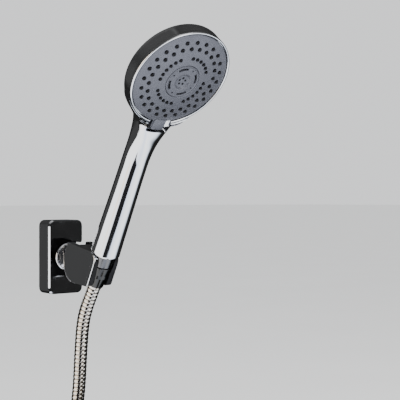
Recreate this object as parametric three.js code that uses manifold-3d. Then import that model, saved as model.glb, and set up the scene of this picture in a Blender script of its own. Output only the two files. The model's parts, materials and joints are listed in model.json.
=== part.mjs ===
// Hand shower resting in its tilting wall holder, with the spiral hose that feeds it.
//
// Millimetres, +Z up. The origin is the centre of the wall plate's back face, the wall is the plane
// y = 0, the holder stands out of it towards -Y, and the whole set is symmetric about x = 0 apart
// from the hose. The hand shower is modelled in its own group, z along the handle, and its head in
// a group inside that one, z out of the spray face.

import * as THREE from 'three';
import { mergeVertices } from 'three/addons/utils/BufferGeometryUtils.js';
import Module from 'manifold-3d';

const wasm = await Module();
wasm.setup();

// ---- Driving dimensions ---------------------------------------------------------------------

// Clearance left between pieces that touch. A tool that cuts an opening runs past the face it opens.
const GAP = 0.3;

// Wall plate and its cover. The cover's pocket runs out through the right-hand side, under a lobe of
// the block above it, whose lowest corner is the lip.
const PLATE = { width: 42.4, height: 80.4, depth: 21.6, corner: 7.5, wall: 2.2, edge: 1.5 };
const POCKET = { halfWidth: 18.4, halfHeight: 20.5, floor: 8, corner: 4, lipX: 20.4, lipZ: 14.4, lipCorner: 6 };
const BASE = { thickness: 5, inset: 2.5, screwHeight: 29, screwHole: 2.3, screwHead: 4.4, sink: 2.4 };
const BOSS = { radius: 15, stem: 10.8, front: 27, rim: 2, tongueLow: -11, tongueHigh: 9 };
const BOSS_SCREW = { offset: 6.6, shank: 1.6, head: 3.7, headFrom: 0.3, headTo: 2.4, end: 15 };
const GRUB = { radius: 1.5, y: -2.6, length: 6.4, socket: 0.8 };

// Tilt pivot of the holder
const PIVOT = { y: -62, z: -4, pin: 2.5, tongue: 6, tongueRound: 8.5 };
const PIN = { start: -11.6, headFrom: 13, end: 14.6, head: 3.4 };
const WASHER = { radius: 7, thickness: 1.2 };

// Holder
const HOLDER = { halfWidth: 15, backRadius: 21, mouth: 8.6, seatClearance: 0.6, edge: 0.8 };

// Hand shower: where its handle ends, and how far it leans out from upright
const HANDSET = { y: -99.7, z: 7.6, lean: 30 };
const SHELL_WALL = 2.4;
const TUBE = { radius: 5, bore: 3.7, sides: 10, steps: 12 };

// The handle's sections: z along the handle, how far its middle lies forward, half-width, half-depth,
// and how square it is, from 2 for an ellipse upwards
const HANDLE_STATIONS = [
  { z: 0.6, forward: 0, side: 14.6, depth: 14.6, square: 2 },
  { z: 1.4, forward: 0, side: 15.2, depth: 15.2, square: 2 },
  { z: 20, forward: 0, side: 14.75, depth: 14.75, square: 2 },
  { z: 45, forward: 0, side: 14.25, depth: 14.25, square: 2 },
  { z: 70, forward: 0, side: 13.75, depth: 13.75, square: 2 },
  { z: 95, forward: 0, side: 13.4, depth: 13.4, square: 2 },
  { z: 115, forward: 0.4, side: 13.3, depth: 13.3, square: 2.05 },
  { z: 130, forward: 2, side: 13.8, depth: 13.3, square: 2.3 },
  { z: 142, forward: 4.2, side: 15.6, depth: 13.2, square: 2.7 },
  { z: 152, forward: 6.4, side: 18.8, depth: 12.2, square: 3 },
  { z: 164, forward: 8, side: 24, depth: 11, square: 3 },
  { z: 178, forward: 9.5, side: 28, depth: 9, square: 3 },
];

// Head: centre of the spray face in the handset's frame, and its lean beyond the handle's
const HEAD = { forward: 27.6, z: 207.2, lean: 11.4, radius: 51.2, side: 12, back: 27 };
const RIM = { inner: 49.2, outer: 51.4, front: 1, back: -2.7 };
const FACE = { radius: 48.6, crown: 4.5, thickness: 2.2 };
const TAB = { halfWidth: 6.85, root: 46.6, end: 58.6, top: 0.9, bottom: -2.1 };
const RECESS = { halfWidth: 12.4, end: 60.4, depth: 1.2 };

// Nozzles: radius of each ring, its angles in degrees, and the tip's radius
const NOZZLE_HEIGHT = 1.2;
const NOZZLE_SIDES = 5;
const NOZZLE_RINGS = [
  { ring: 41, tip: 1.5, angles: evenAngles(24, 2.7) },
  { ring: 34.8, tip: 1.5, angles: evenAngles(24, 9.7) },
  { ring: 25.1, tip: 1.25, angles: groupedAngles(4, 6, 12, 29.6) },
];
const MAT = { inner: 9.5, outer: 46, thickness: 1.2 };
const INSERT = { radius: 17.2, slotRing: 13.8, slotHalfWidth: 1, slotArc: 42, jetRing: 3.4, jet: 1.2 };
const INSERT_DISH = { radius: 8, depth: 1.6 };

// Inlet, cone nut and hose, measured down the handle's axis
const COLLAR = { radius: 11.3, length: 12.5 };
const SPIGOT = { radius: 10.2, bore: 6.6, end: -22 };
// The end of the connector that sits inside the handle
const PLUG = { radius: 11.6, length: 14, bore: 7.6, floor: 2.5 };
const WASHER_THICKNESS = 2;
const NUT = { top: -13.1, bottom: -38.5, topRadius: 11.8, bottomRadius: 8.8, bore: 10.7, shoulder: -26.3 };
const FERRULE = { radius: 7.5, flange: 9.6, bore: 5, end: -41.5 };
const HOSE = { radius: 7, sides: 10 };
const COIL = { x: 7, y: -117.6, z: -227, radius: 70, halfWidth: 28 };
const END_NUT = { radius: 12.4, length: 16, bore: 10.6 };

const METAL = { metalness: 1, roughness: 0.12 };
const PAINT = {
  chrome: material(0xc9ccd2, METAL),
  darkChrome: material(0x8d9096, METAL),
  steel: material(0xa8a8a4, { metalness: 1, roughness: 0.35 }),
  brass: material(0xb69352, { metalness: 1, roughness: 0.3 }),
  face: material(0x8f919b, { metalness: 0.2, roughness: 0.45 }),
  rubber: material(0x161618, { metalness: 0, roughness: 0.7 }),
  whitePlastic: material(0xd9dad6, { metalness: 0, roughness: 0.5 }),
  greyPlastic: material(0x6d7075, { metalness: 0, roughness: 0.5 }),
  strap: material(0x232427, { metalness: 0, roughness: 0.8 }),
};

// ---- Small helpers --------------------------------------------------------------------------

function material(color, finish) {
  return new THREE.MeshStandardMaterial({ color, ...finish });
}

function radians(degrees) {
  return (degrees * Math.PI) / 180;
}

function evenAngles(count, first) {
  return Array.from({ length: count }, (_, i) => first + (i * 360) / count);
}

function groupedAngles(groups, perGroup, step, first) {
  const starts = evenAngles(groups, first);
  return starts.flatMap((start) => Array.from({ length: perGroup }, (_, i) => start + i * step));
}

// A closed three.js geometry as a solid, with seams merged, empty triangles dropped and faces out
function solid(geometry) {
  const plain = geometry.index ? geometry.toNonIndexed() : geometry.clone();
  plain.deleteAttribute('normal');
  plain.deleteAttribute('uv');
  const merged = mergeVertices(plain, 1e-4);
  const index = merged.index.array;
  const corners = merged.attributes.position.array;
  const triangles = [];
  let volume = 0;
  const [a, b, c] = [new THREE.Vector3(), new THREE.Vector3(), new THREE.Vector3()];
  for (let i = 0; i < index.length; i += 3) {
    const [p, q, r] = [index[i], index[i + 1], index[i + 2]];
    if (p === q || q === r || r === p) continue;
    triangles.push(p, q, r);
    volume += a.fromArray(corners, 3 * p).dot(b.fromArray(corners, 3 * q).cross(c.fromArray(corners, 3 * r)));
  }
  if (volume < 0) triangles.reverse();
  const mesh = new wasm.Mesh({
    numProp: 3,
    vertProperties: new Float32Array(corners),
    triVerts: new Uint32Array(triangles),
  });
  return new wasm.Manifold(mesh);
}

function geometryOf(body) {
  const mesh = body.getMesh();
  const geometry = new THREE.BufferGeometry();
  geometry.setAttribute('position', new THREE.BufferAttribute(new Float32Array(mesh.vertProperties), 3));
  geometry.setIndex(Array.from(mesh.triVerts));
  geometry.computeVertexNormals();
  return geometry;
}

function join(...bodies) {
  return bodies.reduce((all, next) => all.add(next));
}

function cut(body, ...tools) {
  return tools.reduce((left, tool) => left.subtract(tool), body);
}

// A profile of [radius, height] points turned about Z
function turned(profile, segments = 20) {
  const points = profile.map(([radius, height]) => new THREE.Vector2(Math.max(radius, 0), height));
  return solid(new THREE.LatheGeometry(points, segments).rotateX(Math.PI / 2));
}

function rod(radius, from, to, segments = 16) {
  return turned([[0, from], [radius, from], [radius, to], [0, to]], segments);
}

function ring(inner, outer, from, to, segments = 20) {
  return turned([[inner, from], [outer, from], [outer, to], [inner, to], [inner, from]], segments);
}

function box(low, high) {
  const size = high.map((value, i) => value - low[i]);
  const geometry = new THREE.BoxGeometry(...size);
  return solid(geometry.translate(...low.map((value, i) => value + size[i] / 2)));
}

function moved(body, x, y, z) {
  return body.translate([x, y, z]);
}

// A closed outline of [a, b, corner radius] points, each corner rounded
function outline(points) {
  const shape = new THREE.Shape();
  points.forEach(([a, b, radius = 0], i) => {
    const corner = new THREE.Vector2(a, b);
    const before = new THREE.Vector2(...points.at(i - 1)).sub(corner);
    const after = new THREE.Vector2(...points[(i + 1) % points.length]).sub(corner);
    const half = Math.abs(before.angleTo(after)) / 2;
    const reach = radius / Math.tan(half);
    const start = before.setLength(reach).add(corner);
    const end = after.setLength(reach).add(corner);
    if (i === 0) shape.moveTo(start.x, start.y);
    else shape.lineTo(start.x, start.y);
    if (radius > 0) shape.quadraticCurveTo(a, b, end.x, end.y);
  });
  shape.closePath();
  return shape;
}

function rectangle(halfWidth, halfHeight, corner) {
  return outline([
    [-halfWidth, -halfHeight, corner],
    [halfWidth, -halfHeight, corner],
    [halfWidth, halfHeight, corner],
    [-halfWidth, halfHeight, corner],
  ]);
}

const X = new THREE.Vector3(1, 0, 0);
const Y = new THREE.Vector3(0, 1, 0);
const Z = new THREE.Vector3(0, 0, 1);

// A shape drawn in (y, z) and given thickness along X
function slab(shape, from, to, options = {}) {
  const geometry = new THREE.ExtrudeGeometry(shape, { depth: to - from, bevelEnabled: false, ...options });
  return solid(geometry.translate(0, 0, from).applyMatrix4(new THREE.Matrix4().makeBasis(Y, Z, X)));
}

// A shape drawn in (x, z) that grows out of the wall, from one distance to another
function pad(shape, from, to, options = {}) {
  const geometry = new THREE.ExtrudeGeometry(shape, { depth: to - from, bevelEnabled: false, ...options });
  const out = Y.clone().negate();
  return solid(geometry.translate(0, 0, from).applyMatrix4(new THREE.Matrix4().makeBasis(X, Z, out)));
}

function along(axis, body) {
  if (axis === 'x') return body.rotate([0, 90, 0]);
  if (axis === '-y') return body.rotate([90, 0, 0]);
  return body;
}

// A sine or cosine that draws a rounded square in place of a circle
function squared(value, square) {
  return Math.sign(value) * Math.abs(value) ** (2 / square);
}

// A bar through a row of stations, with flat ends
function loft(stations, grow = 0, segments = 20) {
  const position = [];
  const index = [];
  stations.forEach((station) => {
    for (let k = 0; k < segments; k += 1) {
      const angle = (2 * Math.PI * k) / segments;
      const x = (station.side + grow) * squared(Math.cos(angle), station.square);
      const y = (station.depth + grow) * squared(Math.sin(angle), station.square) - station.forward;
      position.push(x, y, station.z);
    }
  });
  for (let row = 0; row + 1 < stations.length; row += 1) {
    for (let k = 0; k < segments; k += 1) {
      const next = (k + 1) % segments;
      const [a, b] = [row * segments + k, row * segments + next];
      index.push(a, b, b + segments, a, b + segments, a + segments);
    }
  }
  for (const row of [0, stations.length - 1]) {
    const centre = position.length / 3;
    position.push(0, -stations[row].forward, stations[row].z);
    for (let k = 0; k < segments; k += 1) {
      const [a, b] = [row * segments + k, row * segments + ((k + 1) % segments)];
      index.push(...(row === 0 ? [centre, b, a] : [centre, a, b]));
    }
  }
  const geometry = new THREE.BufferGeometry();
  geometry.setAttribute('position', new THREE.Float32BufferAttribute(position, 3));
  geometry.setIndex(index);
  return solid(geometry);
}

// A round bar of one radius along a curve
function tubeAlong(curve, radius, sides, steps) {
  const section = new THREE.Shape(
    Array.from({ length: sides }, (_, k) => {
      const angle = (2 * Math.PI * k) / sides;
      return new THREE.Vector2(radius * Math.cos(angle), radius * Math.sin(angle));
    }),
  );
  return solid(new THREE.ExtrudeGeometry(section, { steps, extrudePath: curve, bevelEnabled: false }));
}

// ---- The tree of groups ---------------------------------------------------------------------

const set = new THREE.Group();

const handset = new THREE.Group();
handset.position.set(0, HANDSET.y, HANDSET.z);
handset.rotation.x = radians(HANDSET.lean);
set.add(handset);

const head = new THREE.Group();
head.position.set(0, -HEAD.forward, HEAD.z);
head.rotation.x = radians(90 + HEAD.lean);
handset.add(head);

function addPiece(parent, name, body, paint) {
  const mesh = new THREE.Mesh(geometryOf(body), paint);
  mesh.name = name;
  parent.add(mesh);
}

// Solids drawn in the handset's or the head's frame, carried into the frame outside it
function fromHandset(body) {
  return moved(body.rotate([HANDSET.lean, 0, 0]), 0, HANDSET.y, HANDSET.z);
}

function headToHandset(body) {
  return moved(body.rotate([90 + HEAD.lean, 0, 0]), 0, -HEAD.forward, HEAD.z);
}

// ---- Wall plate -----------------------------------------------------------------------------

function wallBase() {
  const halfWidth = PLATE.width / 2 - BASE.inset;
  const halfHeight = PLATE.height / 2 - BASE.inset;
  const plate = pad(rectangle(halfWidth, halfHeight, PLATE.corner - BASE.inset), 0, BASE.thickness);
  const holes = [-1, 1].map((side) => {
    const hole = turned([
      [0, -1],
      [BASE.screwHole, -1],
      [BASE.screwHole, BASE.thickness - BASE.sink],
      [BASE.screwHead, BASE.thickness + 0.1],
      [0, BASE.thickness + 0.1],
    ], 16);
    return moved(along('-y', hole), 0, 0, side * BASE.screwHeight);
  });
  const screwWells = [-1, 1].map((side) => {
    const shank = rod(BOSS_SCREW.shank + 2 * GAP, -1, BASE.thickness + 1, 12);
    const well = join(shank, rod(BOSS_SCREW.head + GAP, -1, BOSS_SCREW.headTo + GAP));
    return moved(along('-y', well), side * BOSS_SCREW.offset, 0, 0);
  });
  const grubHole = moved(rod(GRUB.radius + GAP, -halfHeight - 1, -halfHeight + 5, 12), 0, GRUB.y, 0);
  return cut(plate, ...holes, ...screwWells, grubHole);
}

function bracketCover() {
  const halfWidth = PLATE.width / 2;
  const halfHeight = PLATE.height / 2;
  const edge = { bevelEnabled: true, bevelThickness: PLATE.edge, bevelSize: PLATE.edge };
  const outer = pad(rectangle(halfWidth, halfHeight, PLATE.corner), 0, PLATE.depth - PLATE.edge, {
    ...edge,
    bevelOffset: -PLATE.edge,
    bevelSegments: 1,
  });
  // The rounding at the wall's side is cut off, so that the cover stands square on the wall
  const behindWall = box([-halfWidth - 1, 0, -halfHeight - 1], [halfWidth + 1, 5, halfHeight + 1]);
  const inside = pad(
    rectangle(halfWidth - PLATE.wall, halfHeight - PLATE.wall, PLATE.corner - 2),
    -1,
    PLATE.depth - PLATE.wall,
  );
  const pocketWall = pad(
    rectangle(halfWidth, POCKET.halfHeight + PLATE.wall, 1),
    POCKET.floor - PLATE.wall,
    PLATE.depth,
  );
  const pocketShape = outline([
    [-POCKET.halfWidth, -POCKET.halfHeight, POCKET.corner],
    [halfWidth + 1, -POCKET.halfHeight, 0],
    [halfWidth + 1, POCKET.halfHeight + 3, 0],
    [POCKET.lipX, POCKET.lipZ, POCKET.lipCorner],
    [-3, POCKET.halfHeight, 0],
    [-POCKET.halfWidth, POCKET.halfHeight, POCKET.corner],
  ]);
  const pocket = pad(pocketShape, POCKET.floor, PLATE.depth + 1);
  const stemHole = along('-y', rod(BOSS.stem + 2 * GAP, 0, PLATE.depth, 28));
  const grubHole = moved(rod(GRUB.radius + GAP, -halfHeight - 1, -halfHeight + 4, 12), 0, GRUB.y, 0);
  return cut(outer, behindWall, cut(inside, pocketWall), pocket, stemHole, grubHole);
}

function coverGrubScrew() {
  const foot = -PLATE.height / 2 + 0.4;
  const screw = rod(GRUB.radius, foot, foot + GRUB.length, 12);
  const socket = rod(GRUB.socket, foot - 1, foot + 1.4, 6);
  return moved(cut(screw, socket), 0, GRUB.y, 0);
}

function swivelBoss() {
  const start = BASE.thickness + GAP;
  const shoulder = POCKET.floor + GAP;
  const collar = along('-y', turned([
    [0, start],
    [BOSS.stem, start],
    [BOSS.stem, shoulder],
    [BOSS.radius, shoulder],
    [BOSS.radius, BOSS.front - BOSS.rim],
    [BOSS.radius - 0.6, BOSS.front - 0.6],
    [BOSS.radius - BOSS.rim, BOSS.front],
    [0, BOSS.front],
  ], 28));
  const tongue = slab(
    outline([
      [-BOSS.front + 2, BOSS.tongueHigh, 0],
      [-BOSS.front + 2, BOSS.tongueLow, 0],
      [PIVOT.y, PIVOT.z - PIVOT.tongueRound, 0],
      [PIVOT.y, PIVOT.z + PIVOT.tongueRound, 0],
    ]),
    -PIVOT.tongue,
    PIVOT.tongue,
  );
  const eye = atPivot(rod(PIVOT.tongueRound, -PIVOT.tongue, PIVOT.tongue, 28));
  const pinHole = atPivot(rod(PIVOT.pin + GAP, -20, 20, 16));
  const threads = [-1, 1].map((side) => {
    const thread = rod(BOSS_SCREW.shank + GAP, 0, BOSS_SCREW.end + 1, 12);
    return moved(along('-y', thread), side * BOSS_SCREW.offset, 0, 0);
  });
  return cut(join(collar, tongue, eye), pinHole, ...threads);
}

function atPivot(body) {
  return moved(along('x', body), 0, PIVOT.y, PIVOT.z);
}

function bossScrew(side) {
  const head = rod(BOSS_SCREW.head, BOSS_SCREW.headFrom, BOSS_SCREW.headTo, 12);
  const shank = rod(BOSS_SCREW.shank, BOSS_SCREW.headFrom, BOSS_SCREW.end, 12);
  return moved(along('-y', join(head, shank)), side * BOSS_SCREW.offset, 0, 0);
}

function pivotPin() {
  const shaft = rod(PIVOT.pin, PIN.start, PIN.end, 20);
  const head = rod(PIN.head, PIN.headFrom, PIN.end, 20);
  const slot = box([-0.5, -5, PIN.end - 0.6], [0.5, 5, PIN.end + 1]);
  return atPivot(cut(join(shaft, head), slot));
}

function frictionWasher(side) {
  const near = PIVOT.tongue + GAP;
  const washer = ring(PIVOT.pin + GAP, WASHER.radius, near, near + WASHER.thickness, 16);
  return atPivot(side < 0 ? washer.rotate([180, 0, 0]) : washer);
}

// ---- Holder: flat flanks, a round back about the pivot, a tapered seat open to the front ------

function holderOutline() {
  const shape = new THREE.Shape();
  shape.moveTo(-50, 17.2);
  shape.lineTo(-93.3, 9);
  shape.quadraticCurveTo(-107.3, 6.4, -100.3, -6);
  shape.lineTo(-89.4, -25.4);
  shape.quadraticCurveTo(-88.2, -27.4, -85, -27.2);
  shape.lineTo(PIVOT.y, PIVOT.z - HOLDER.backRadius - 0.8);
  shape.absarc(PIVOT.y, PIVOT.z, HOLDER.backRadius, radians(-86), radians(38), false);
  shape.closePath();
  return shape;
}

// The seat follows the cone nut, so it is drawn down the handle's axis
function seatCutter() {
  const clear = HOLDER.seatClearance;
  const [above, below] = [30, -75];
  const bore = turned([
    [0, above],
    [NUT.topRadius + clear, above],
    [NUT.topRadius + clear, NUT.top],
    [NUT.bottomRadius + clear, NUT.bottom],
    [NUT.bottomRadius + clear, below],
    [0, below],
  ], 24);
  const mouth = box([-HOLDER.mouth, -40, below], [HOLDER.mouth, 0, above]);
  return fromHandset(join(bore, mouth));
}

function holderFork() {
  const edge = HOLDER.edge;
  const body = slab(holderOutline(), -HOLDER.halfWidth + edge, HOLDER.halfWidth - edge, {
    bevelEnabled: true,
    bevelThickness: edge,
    bevelSize: edge,
    bevelOffset: -edge,
    bevelSegments: 1,
  });
  const slotHalf = PIVOT.tongue + WASHER.thickness + 2 * GAP;
  const slotEye = atPivot(rod(PIVOT.tongueRound + 1, -slotHalf, slotHalf, 28));
  const slot = box([-slotHalf, PIVOT.y, -40], [slotHalf, PIVOT.y + 40, 40]);
  const headHole = rod(PIN.head + GAP, PIN.headFrom - GAP, 20, 20);
  const pinHole = atPivot(join(rod(PIVOT.pin + GAP, PIN.start - GAP, 20, 16), headHole));
  return cut(body, seatCutter(), slotEye, slot, pinHole);
}

// ---- Hand shower body -----------------------------------------------------------------------

// The head's back: straight side, then rounded, as [radius, height] from the rim to the axis
function headProfile(inset) {
  const points = [[HEAD.radius - inset, RIM.back - GAP]];
  const steps = 5;
  const fullness = 0.8; // 1 draws an ellipse, and less draws a fuller shoulder
  for (let i = 0; i <= steps; i += 1) {
    const angle = (Math.PI / 2) * (i / steps);
    const radius = (HEAD.radius - inset) * Math.cos(angle) ** fullness;
    points.push([i === steps ? 0 : radius, -HEAD.side - (HEAD.back - HEAD.side - inset) * Math.sin(angle)]);
  }
  return points;
}

function headSolid(inset, front) {
  const profile = headProfile(inset);
  profile[0][1] = front;
  return turned([[0, front], ...profile], 32);
}

function handsetShell() {
  const outer = join(loft(HANDLE_STATIONS), headToHandset(headSolid(0, RIM.back - GAP)));
  const handleInside = HANDLE_STATIONS.slice(1).map((station, i) => ({ ...station, z: i ? station.z : -5 }));
  const inside = join(loft(handleInside, -SHELL_WALL), headToHandset(headSolid(SHELL_WALL, 20)));
  const overRim = headToHandset(rod(RIM.outer + GAP, RIM.back - GAP, 30, 32));
  const recess = headToHandset(box(
    [-RECESS.halfWidth, -RECESS.end, TAB.bottom - RECESS.depth],
    [RECESS.halfWidth, -30, 30],
  ));
  return cut(outer, inside, overRim, recess);
}

function waterTube() {
  const points = [[0, 4], [0, 60], [0, 110], [1.2, 135], [3.6, 155], [6.2, 170], [8.6, 182]];
  const curve = new THREE.CatmullRomCurve3(points.map(([forward, z]) => new THREE.Vector3(0, -forward, z)));
  const longer = points.map(([forward, z]) => new THREE.Vector3(0, -forward, z));
  longer[0].z -= 2;
  longer.push(new THREE.Vector3(0, -9, 184));
  const bore = tubeAlong(new THREE.CatmullRomCurve3(longer), TUBE.bore, TUBE.sides - 2, TUBE.steps);
  return cut(tubeAlong(curve, TUBE.radius, TUBE.sides, TUBE.steps), bore);
}

function inletConnector() {
  return turned([
    [SPIGOT.bore, SPIGOT.end],
    [SPIGOT.radius - 0.5, SPIGOT.end],
    [SPIGOT.radius, SPIGOT.end + 0.8],
    [SPIGOT.radius, -COLLAR.length],
    [COLLAR.radius, -COLLAR.length],
    [COLLAR.radius, -0.4],
    [PLUG.radius, 0],
    [PLUG.radius, PLUG.length],
    [PLUG.bore, PLUG.length],
    [PLUG.bore, PLUG.floor],
    [SPIGOT.bore, PLUG.floor],
    [SPIGOT.bore, SPIGOT.end],
  ], 20);
}

function tubeOring() {
  return ring(TUBE.radius + GAP, PLUG.bore - GAP, 6, 8.4, 16);
}

function flowRegulator() {
  const disc = rod(SPIGOT.bore - GAP, -20.5, -17.5, 16);
  const ports = evenAngles(6, 0).map((angle) => {
    return moved(rod(0.9, -25, -10, 6), 4 * Math.cos(radians(angle)), 4 * Math.sin(radians(angle)), 0);
  });
  return cut(disc, ...ports);
}

function hoseWasher() {
  const top = SPIGOT.end - GAP;
  return ring(FERRULE.bore, FERRULE.flange - 0.1, top - WASHER_THICKNESS, top, 16);
}

function coneNut() {
  return turned([
    [FERRULE.radius + GAP, NUT.bottom],
    [NUT.bottomRadius, NUT.bottom],
    [NUT.topRadius, NUT.top - 0.6],
    [NUT.topRadius - 0.6, NUT.top],
    [NUT.bore, NUT.top],
    [NUT.bore, NUT.shoulder],
    [FERRULE.radius + GAP, NUT.shoulder],
    [FERRULE.radius + GAP, NUT.bottom],
  ], 24);
}

function hoseFerrule() {
  const flangeTop = SPIGOT.end - 2 * GAP - WASHER_THICKNESS;
  return turned([
    [FERRULE.bore, flangeTop],
    [FERRULE.flange, flangeTop],
    [FERRULE.flange, NUT.shoulder + GAP],
    [FERRULE.radius, NUT.shoulder + GAP],
    [FERRULE.radius, FERRULE.end + 0.5],
    [FERRULE.radius - 0.5, FERRULE.end],
    [FERRULE.bore, FERRULE.end],
    [FERRULE.bore, flangeTop],
  ], 16);
}

// ---- Head: fixed water parts ----------------------------------------------------------------

const DISTRIBUTOR = { radius: 33, back: -12.2, front: -8.9, hub: 8, pipe: 5, pipeHeight: -13.6 };
const PORT_RING = 11; // the ring on which the ports, the seal and the detent lie
const DETENT_ANGLE = 210;
const SCREW_CLEARANCE = 2.5;

function rimRing() {
  const body = turned([
    [RIM.inner, RIM.back],
    [RIM.outer, RIM.back],
    [RIM.outer, RIM.front - 1],
    [RIM.outer - 0.7, RIM.front],
    [RIM.inner + 0.5, RIM.front],
    [RIM.inner, RIM.front - 0.6],
    [RIM.inner, RIM.back],
  ], 32);
  return cut(body, box([-RECESS.halfWidth, -60, -10], [RECESS.halfWidth, -30, 10]));
}

function distributor() {
  const disc = rod(DISTRIBUTOR.radius, DISTRIBUTOR.back, DISTRIBUTOR.front, 28);
  const hub = rod(DISTRIBUTOR.hub, -19, DISTRIBUTOR.back + 1);
  const toHandle = (body) => moved(body.rotate([90, 0, 0]), 0, 0, DISTRIBUTOR.pipeHeight);
  const pipe = toHandle(join(rod(DISTRIBUTOR.pipe, 4, 27), rod(6.7, 26, 33)));
  const bore = toHandle(join(rod(TUBE.bore, 0, 34, 12), rod(TUBE.radius + 0.4, 27.5, 34)));
  const screwHole = rod(1.6, -17, 0, 12);
  const ports = evenAngles(3, 30).map((angle) => onRing(rod(2.2, -14, 0, 10), PORT_RING, angle));
  const ballHole = onRing(rod(2.1, -12, 0, 12), PORT_RING, DETENT_ANGLE);
  return cut(join(disc, hub, pipe), bore, screwHole, ...ports, ballHole);
}

function onRing(body, radius, angle) {
  return moved(body, radius * Math.cos(radians(angle)), radius * Math.sin(radians(angle)), 0);
}

function diverterGasket() {
  return ring(17.6, 19.6, -8.6, -6.3, 28);
}

function diverterSeal() {
  return onRing(ring(0.9, 1.9, -11.4, -8.9, 12), PORT_RING, 30);
}

function detentBall() {
  const ball = solid(new THREE.IcosahedronGeometry(1.6, 1)).translate([0, 0, -9.2]);
  return onRing(ball, PORT_RING, DETENT_ANGLE);
}

function detentSpring() {
  return onRing(ring(1.1, 1.7, -11.8, -11.1, 12), PORT_RING, DETENT_ANGLE);
}

// ---- Head: spray face, which turns -----------------------------------------------------------

function crownAt(radius) {
  return FACE.crown * (1 - (radius / FACE.radius) ** 2);
}

// A domed plate between two radii, its top a given depth under the face's surface
function domedPlate(inner, outer, depth, thickness, segments = 24) {
  const steps = 3;
  const radii = Array.from({ length: steps + 1 }, (_, i) => inner + ((outer - inner) * i) / steps);
  const top = radii.map((radius) => [radius, crownAt(radius) - depth]);
  const bottom = radii.map((radius) => [radius, crownAt(radius) - depth - thickness]).reverse();
  return turned([...top, ...bottom, top[0]], segments);
}

function nozzlePegs(grow, height) {
  return NOZZLE_RINGS.flatMap(({ ring: radius, tip, angles }) => {
    const low = crownAt(radius) - FACE.thickness - 1;
    const peg = rod(tip + grow, low, crownAt(radius) + height, NOZZLE_SIDES);
    return angles.map((angle) => onRing(peg, radius, angle));
  });
}

function facePlate() {
  const plate = domedPlate(INSERT.radius + GAP, FACE.radius, 0, FACE.thickness);
  const tabShape = outline([
    [-TAB.halfWidth, -TAB.root, 0],
    [-TAB.halfWidth, -TAB.end, 2],
    [TAB.halfWidth, -TAB.end, 2],
    [TAB.halfWidth, -TAB.root, 0],
  ]);
  const depth = TAB.top - TAB.bottom;
  const tabGeometry = new THREE.ExtrudeGeometry(tabShape, { depth, bevelEnabled: false });
  const tab = solid(tabGeometry.translate(0, 0, TAB.bottom));
  return cut(join(plate, tab), wasm.Manifold.union(nozzlePegs(GAP, 3)));
}

function nozzleMat() {
  const mat = domedPlate(MAT.inner, MAT.outer, FACE.thickness + GAP, MAT.thickness);
  return join(mat, wasm.Manifold.union(nozzlePegs(0, NOZZLE_HEIGHT)));
}

// A slot bent round the axis, of a given arc in degrees
function arcSlot(radius, halfWidth, arc, middle, from, to) {
  const shape = new THREE.Shape();
  const [start, end] = [radians(middle - arc / 2), radians(middle + arc / 2)];
  shape.absarc(0, 0, radius + halfWidth, start, end, false);
  shape.absarc(0, 0, radius - halfWidth, end, start, true);
  shape.closePath();
  const options = { depth: to - from, bevelEnabled: false, curveSegments: 4 };
  return solid(new THREE.ExtrudeGeometry(shape, options).translate(0, 0, from));
}

function jetInsert() {
  const radii = [0, 5, 8.5, 11, INSERT.radius];
  const top = radii.map((radius) => {
    const dish = radius < INSERT_DISH.radius ? INSERT_DISH.depth : 0;
    return [radius, crownAt(radius) - dish];
  });
  const back = [[0, crownAt(0) - 4.2], [5, crownAt(0) - 4.2], [8.5, 1.9], [INSERT.radius, 1.9]];
  const body = turned([...back, ...top.reverse()], 24);
  const slots = evenAngles(4, 20).map((angle) => {
    return arcSlot(INSERT.slotRing, INSERT.slotHalfWidth, INSERT.slotArc, angle, 0, 8);
  });
  const dots = evenAngles(4, 65).map((angle) => onRing(rod(0.9, 0, 8, 6), INSERT.slotRing, angle));
  const jets = evenAngles(5, 18).map((angle) => onRing(rod(INSERT.jet, -3, 8, 8), INSERT.jetRing, angle));
  return cut(body, ...slots, ...dots, ...jets);
}

function chamberPlate() {
  const disc = ring(SCREW_CLEARANCE, 46.6, -6, -3.6, 28);
  const walls = [21, 30, 45].map((radius) => {
    const top = crownAt(radius) - FACE.thickness - MAT.thickness - 2 * GAP - 0.2;
    return ring(radius - 0.7, radius + 0.7, -4, top, 24);
  });
  const hub = ring(SCREW_CLEARANCE, 6.5, -4, -2.4, 20);
  const port = rod(2.4, -8, 0, 10);
  const ports = [[13.5, 60], [25.5, 150], [38, 300]].map(([radius, angle]) => onRing(port, radius, angle));
  return cut(join(disc, hub, ...walls), ...ports);
}

function diverterDisc() {
  const disc = ring(SCREW_CLEARANCE, 17, -8.1, -6.3, 24);
  const detentTrack = arcSlot(PORT_RING, 1.9, 30, DETENT_ANGLE, -9, -7.3);
  const ports = evenAngles(3, 40).map((angle) => onRing(rod(1.8, -9, -5, 10), PORT_RING, angle));
  return cut(disc, detentTrack, ...ports);
}

function centreScrew() {
  const screw = join(rod(1.3, -15, -8.4), rod(2, -8.4, -2.1), rod(4.2, -2.1, -0.5));
  const cross = join(box([-2, -0.4, -1.2], [2, 0.4, 1]), box([-0.4, -2, -1.2], [0.4, 2, 1]));
  return cut(screw, cross);
}

// ---- Hose ------------------------------------------------------------------------------------

// The hanging stretch, from the ferrule to where it meets the coil
const HOSE_ROUTE = [
  [0, -78.8, -28.6],
  [-0.5, -73.3, -38.3],
  [-1.6, -67.8, -49.5],
  [-2.3, -63, -61.5],
  [-2.2, -59.4, -74],
  [-1.8, -56.7, -88],
  [-1.2, -53.9, -104],
  [-0.6, -51.4, -121],
  [-0.6, -49.4, -139],
  [-2.2, -48.1, -157],
  [-6, -47.6, -175],
  [-8.9, -47.6, -187],
];

// The last stretch hangs straight down out of the coil's last turn
const TAIL_ROUTE = [
  [28, -47.6, -267],
  [28, -47.6, -284],
  [28, -47.6, -302],
];
const TAIL_END = TAIL_ROUTE.at(-1);

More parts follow.
